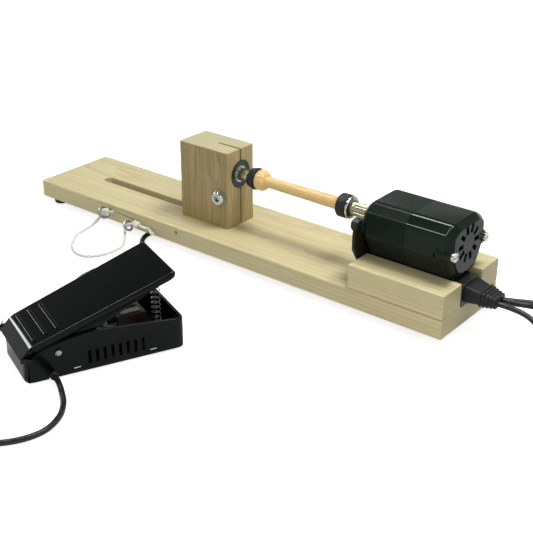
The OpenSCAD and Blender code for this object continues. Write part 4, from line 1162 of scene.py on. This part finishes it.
# The bearing's balls keep their own form
balls = frame["nodes"]["bearing_balls"].data
balls.materials.clear()
balls.materials.append(nickel)


# Floor, light and world

def seen_rays(tree):
    """Two shares: 1 for rays that the camera sees, also through glass, and 1 for reflections."""
    rays = add(tree, "ShaderNodeLightPath")
    seen = add(tree, "ShaderNodeMath", {
        0: rays.outputs["Is Camera Ray"], 1: rays.outputs["Is Transmission Ray"],
    }, operation="MAXIMUM").outputs[0]
    return seen, rays.outputs["Is Glossy Ray"]


CARD_WHITE = 0.72
# What the card adds of its own: seen by the camera, and seen in gloss and metal
CARD_GLOW, CARD_GLOW_MIRRORED = 0.76, 0.3
FLOOR_REACH = 6


def floor_finish():
    """White card: it bounces light, looks white to the camera and keeps a faint shadow."""
    made = bpy.data.materials.new("white_card")
    made.use_nodes = True
    tree = made.node_tree
    tree.nodes.clear()
    seen, glossy = seen_rays(tree)
    mirrored = add(tree, "ShaderNodeMath", {0: glossy, 1: CARD_GLOW_MIRRORED},
                   operation="MULTIPLY").outputs[0]
    glow = add(tree, "ShaderNodeMath", {0: seen, 1: CARD_GLOW, 2: mirrored},
               operation="MULTIPLY_ADD").outputs[0]
    card = add(tree, "ShaderNodeBsdfDiffuse", {"Color": (CARD_WHITE, CARD_WHITE, CARD_WHITE, 1)})
    light = add(tree, "ShaderNodeEmission", {"Color": WHITE, "Strength": glow})
    both = add(tree, "ShaderNodeAddShader", {0: card.outputs[0], 1: light.outputs[0]})
    add(tree, "ShaderNodeOutputMaterial", {"Surface": both.outputs[0]})
    return made


floor_shape = bmesh.new()
bmesh.ops.create_grid(floor_shape, x_segments=8, y_segments=8, size=FLOOR_REACH)
floor_mesh = bpy.data.meshes.new("floor")
floor_shape.to_mesh(floor_mesh)
floor_shape.free()
floor_mesh.materials.append(floor_finish())
in_scene("floor", floor_mesh)

AMBIENT = 0.45
# What metal and gloss mirror: white low down, fading to dark overhead between these heights
WHITE_BELOW, DARK_ABOVE, DARK = 0.28, 0.56, 0.1
# Windows that only reflections show, as their direction and strength: each gives the glossy
# black edges their bright lines. Their light fades out between two angles from their middle.
WINDOWS = [((-0.94, -0.04, 0.33), 22), ((-0.30, -0.10, 0.95), 34),
           ((-0.44, 0.25, 0.86), 34), ((-0.44, -0.35, 0.82), 34)]
WINDOW_CLEAR, WINDOW_END = radians(3.5), radians(6)


def studio():
    """A white world for the camera, a plain level of light, and a darker one for reflections."""
    world = bpy.data.worlds.new("studio")
    world.use_nodes = True
    sky = world.node_tree
    sky.nodes.clear()
    seen, glossy = seen_rays(sky)
    way = add(sky, "ShaderNodeTexCoord").outputs["Generated"]
    height = add(sky, "ShaderNodeSeparateXYZ", {"Vector": way}).outputs["Z"]
    mirrored = add(sky, "ShaderNodeMapRange", {
        "Value": height, "From Min": WHITE_BELOW, "From Max": DARK_ABOVE,
        "To Min": 1.0, "To Max": DARK,
    }).outputs[0]
    for aim, strength in WINDOWS:
        near = add(sky, "ShaderNodeVectorMath", {0: way, 1: Vector(aim).normalized()},
                   operation="DOT_PRODUCT").outputs["Value"]
        pane = add(sky, "ShaderNodeMapRange", {
            "Value": near, "From Min": cos(WINDOW_END), "From Max": cos(WINDOW_CLEAR),
            "To Min": 0.0, "To Max": strength,
        }).outputs[0]
        mirrored = add(sky, "ShaderNodeMath", {0: mirrored, 1: pane}, operation="ADD").outputs[0]
    level = add(sky, "ShaderNodeMix", {SHARE: glossy, NUMBER_A: AMBIENT, NUMBER_B: mirrored},
                data_type="FLOAT").outputs[NUMBER_OUT]
    level = add(sky, "ShaderNodeMix", {SHARE: seen, NUMBER_A: level, NUMBER_B: 1.0},
                data_type="FLOAT").outputs[NUMBER_OUT]
    light = add(sky, "ShaderNodeBackground", {"Color": WHITE, "Strength": level})
    add(sky, "ShaderNodeOutputWorld", {"Surface": light.outputs[0]})
    return world


bpy.context.scene.world = studio()


def soft_lamp(name, way, distance, size, power, aim):
    """A round lamp that shines on the point aim from the given direction."""
    lamp = bpy.data.lights.new(name, "AREA")
    lamp.shape = "DISK"
    lamp.size = size
    lamp.energy = power
    way = Vector(way).normalized()
    facing = way.to_track_quat("Z", "Y").to_matrix().to_4x4()
    in_scene(name, lamp).matrix_world = Matrix.Translation(aim + way*distance) @ facing


soft_lamp("key", way=(0.10, 0.215, 0.97), distance=1.15, size=0.45, power=10.6,
          aim=Vector((0.24, 0.03, 0.04)))
soft_lamp("fill", way=(0.60, -0.75, 0.62), distance=2.4, size=1.2, power=6.4,
          aim=Vector((0.03, 0.03, 0.04)))
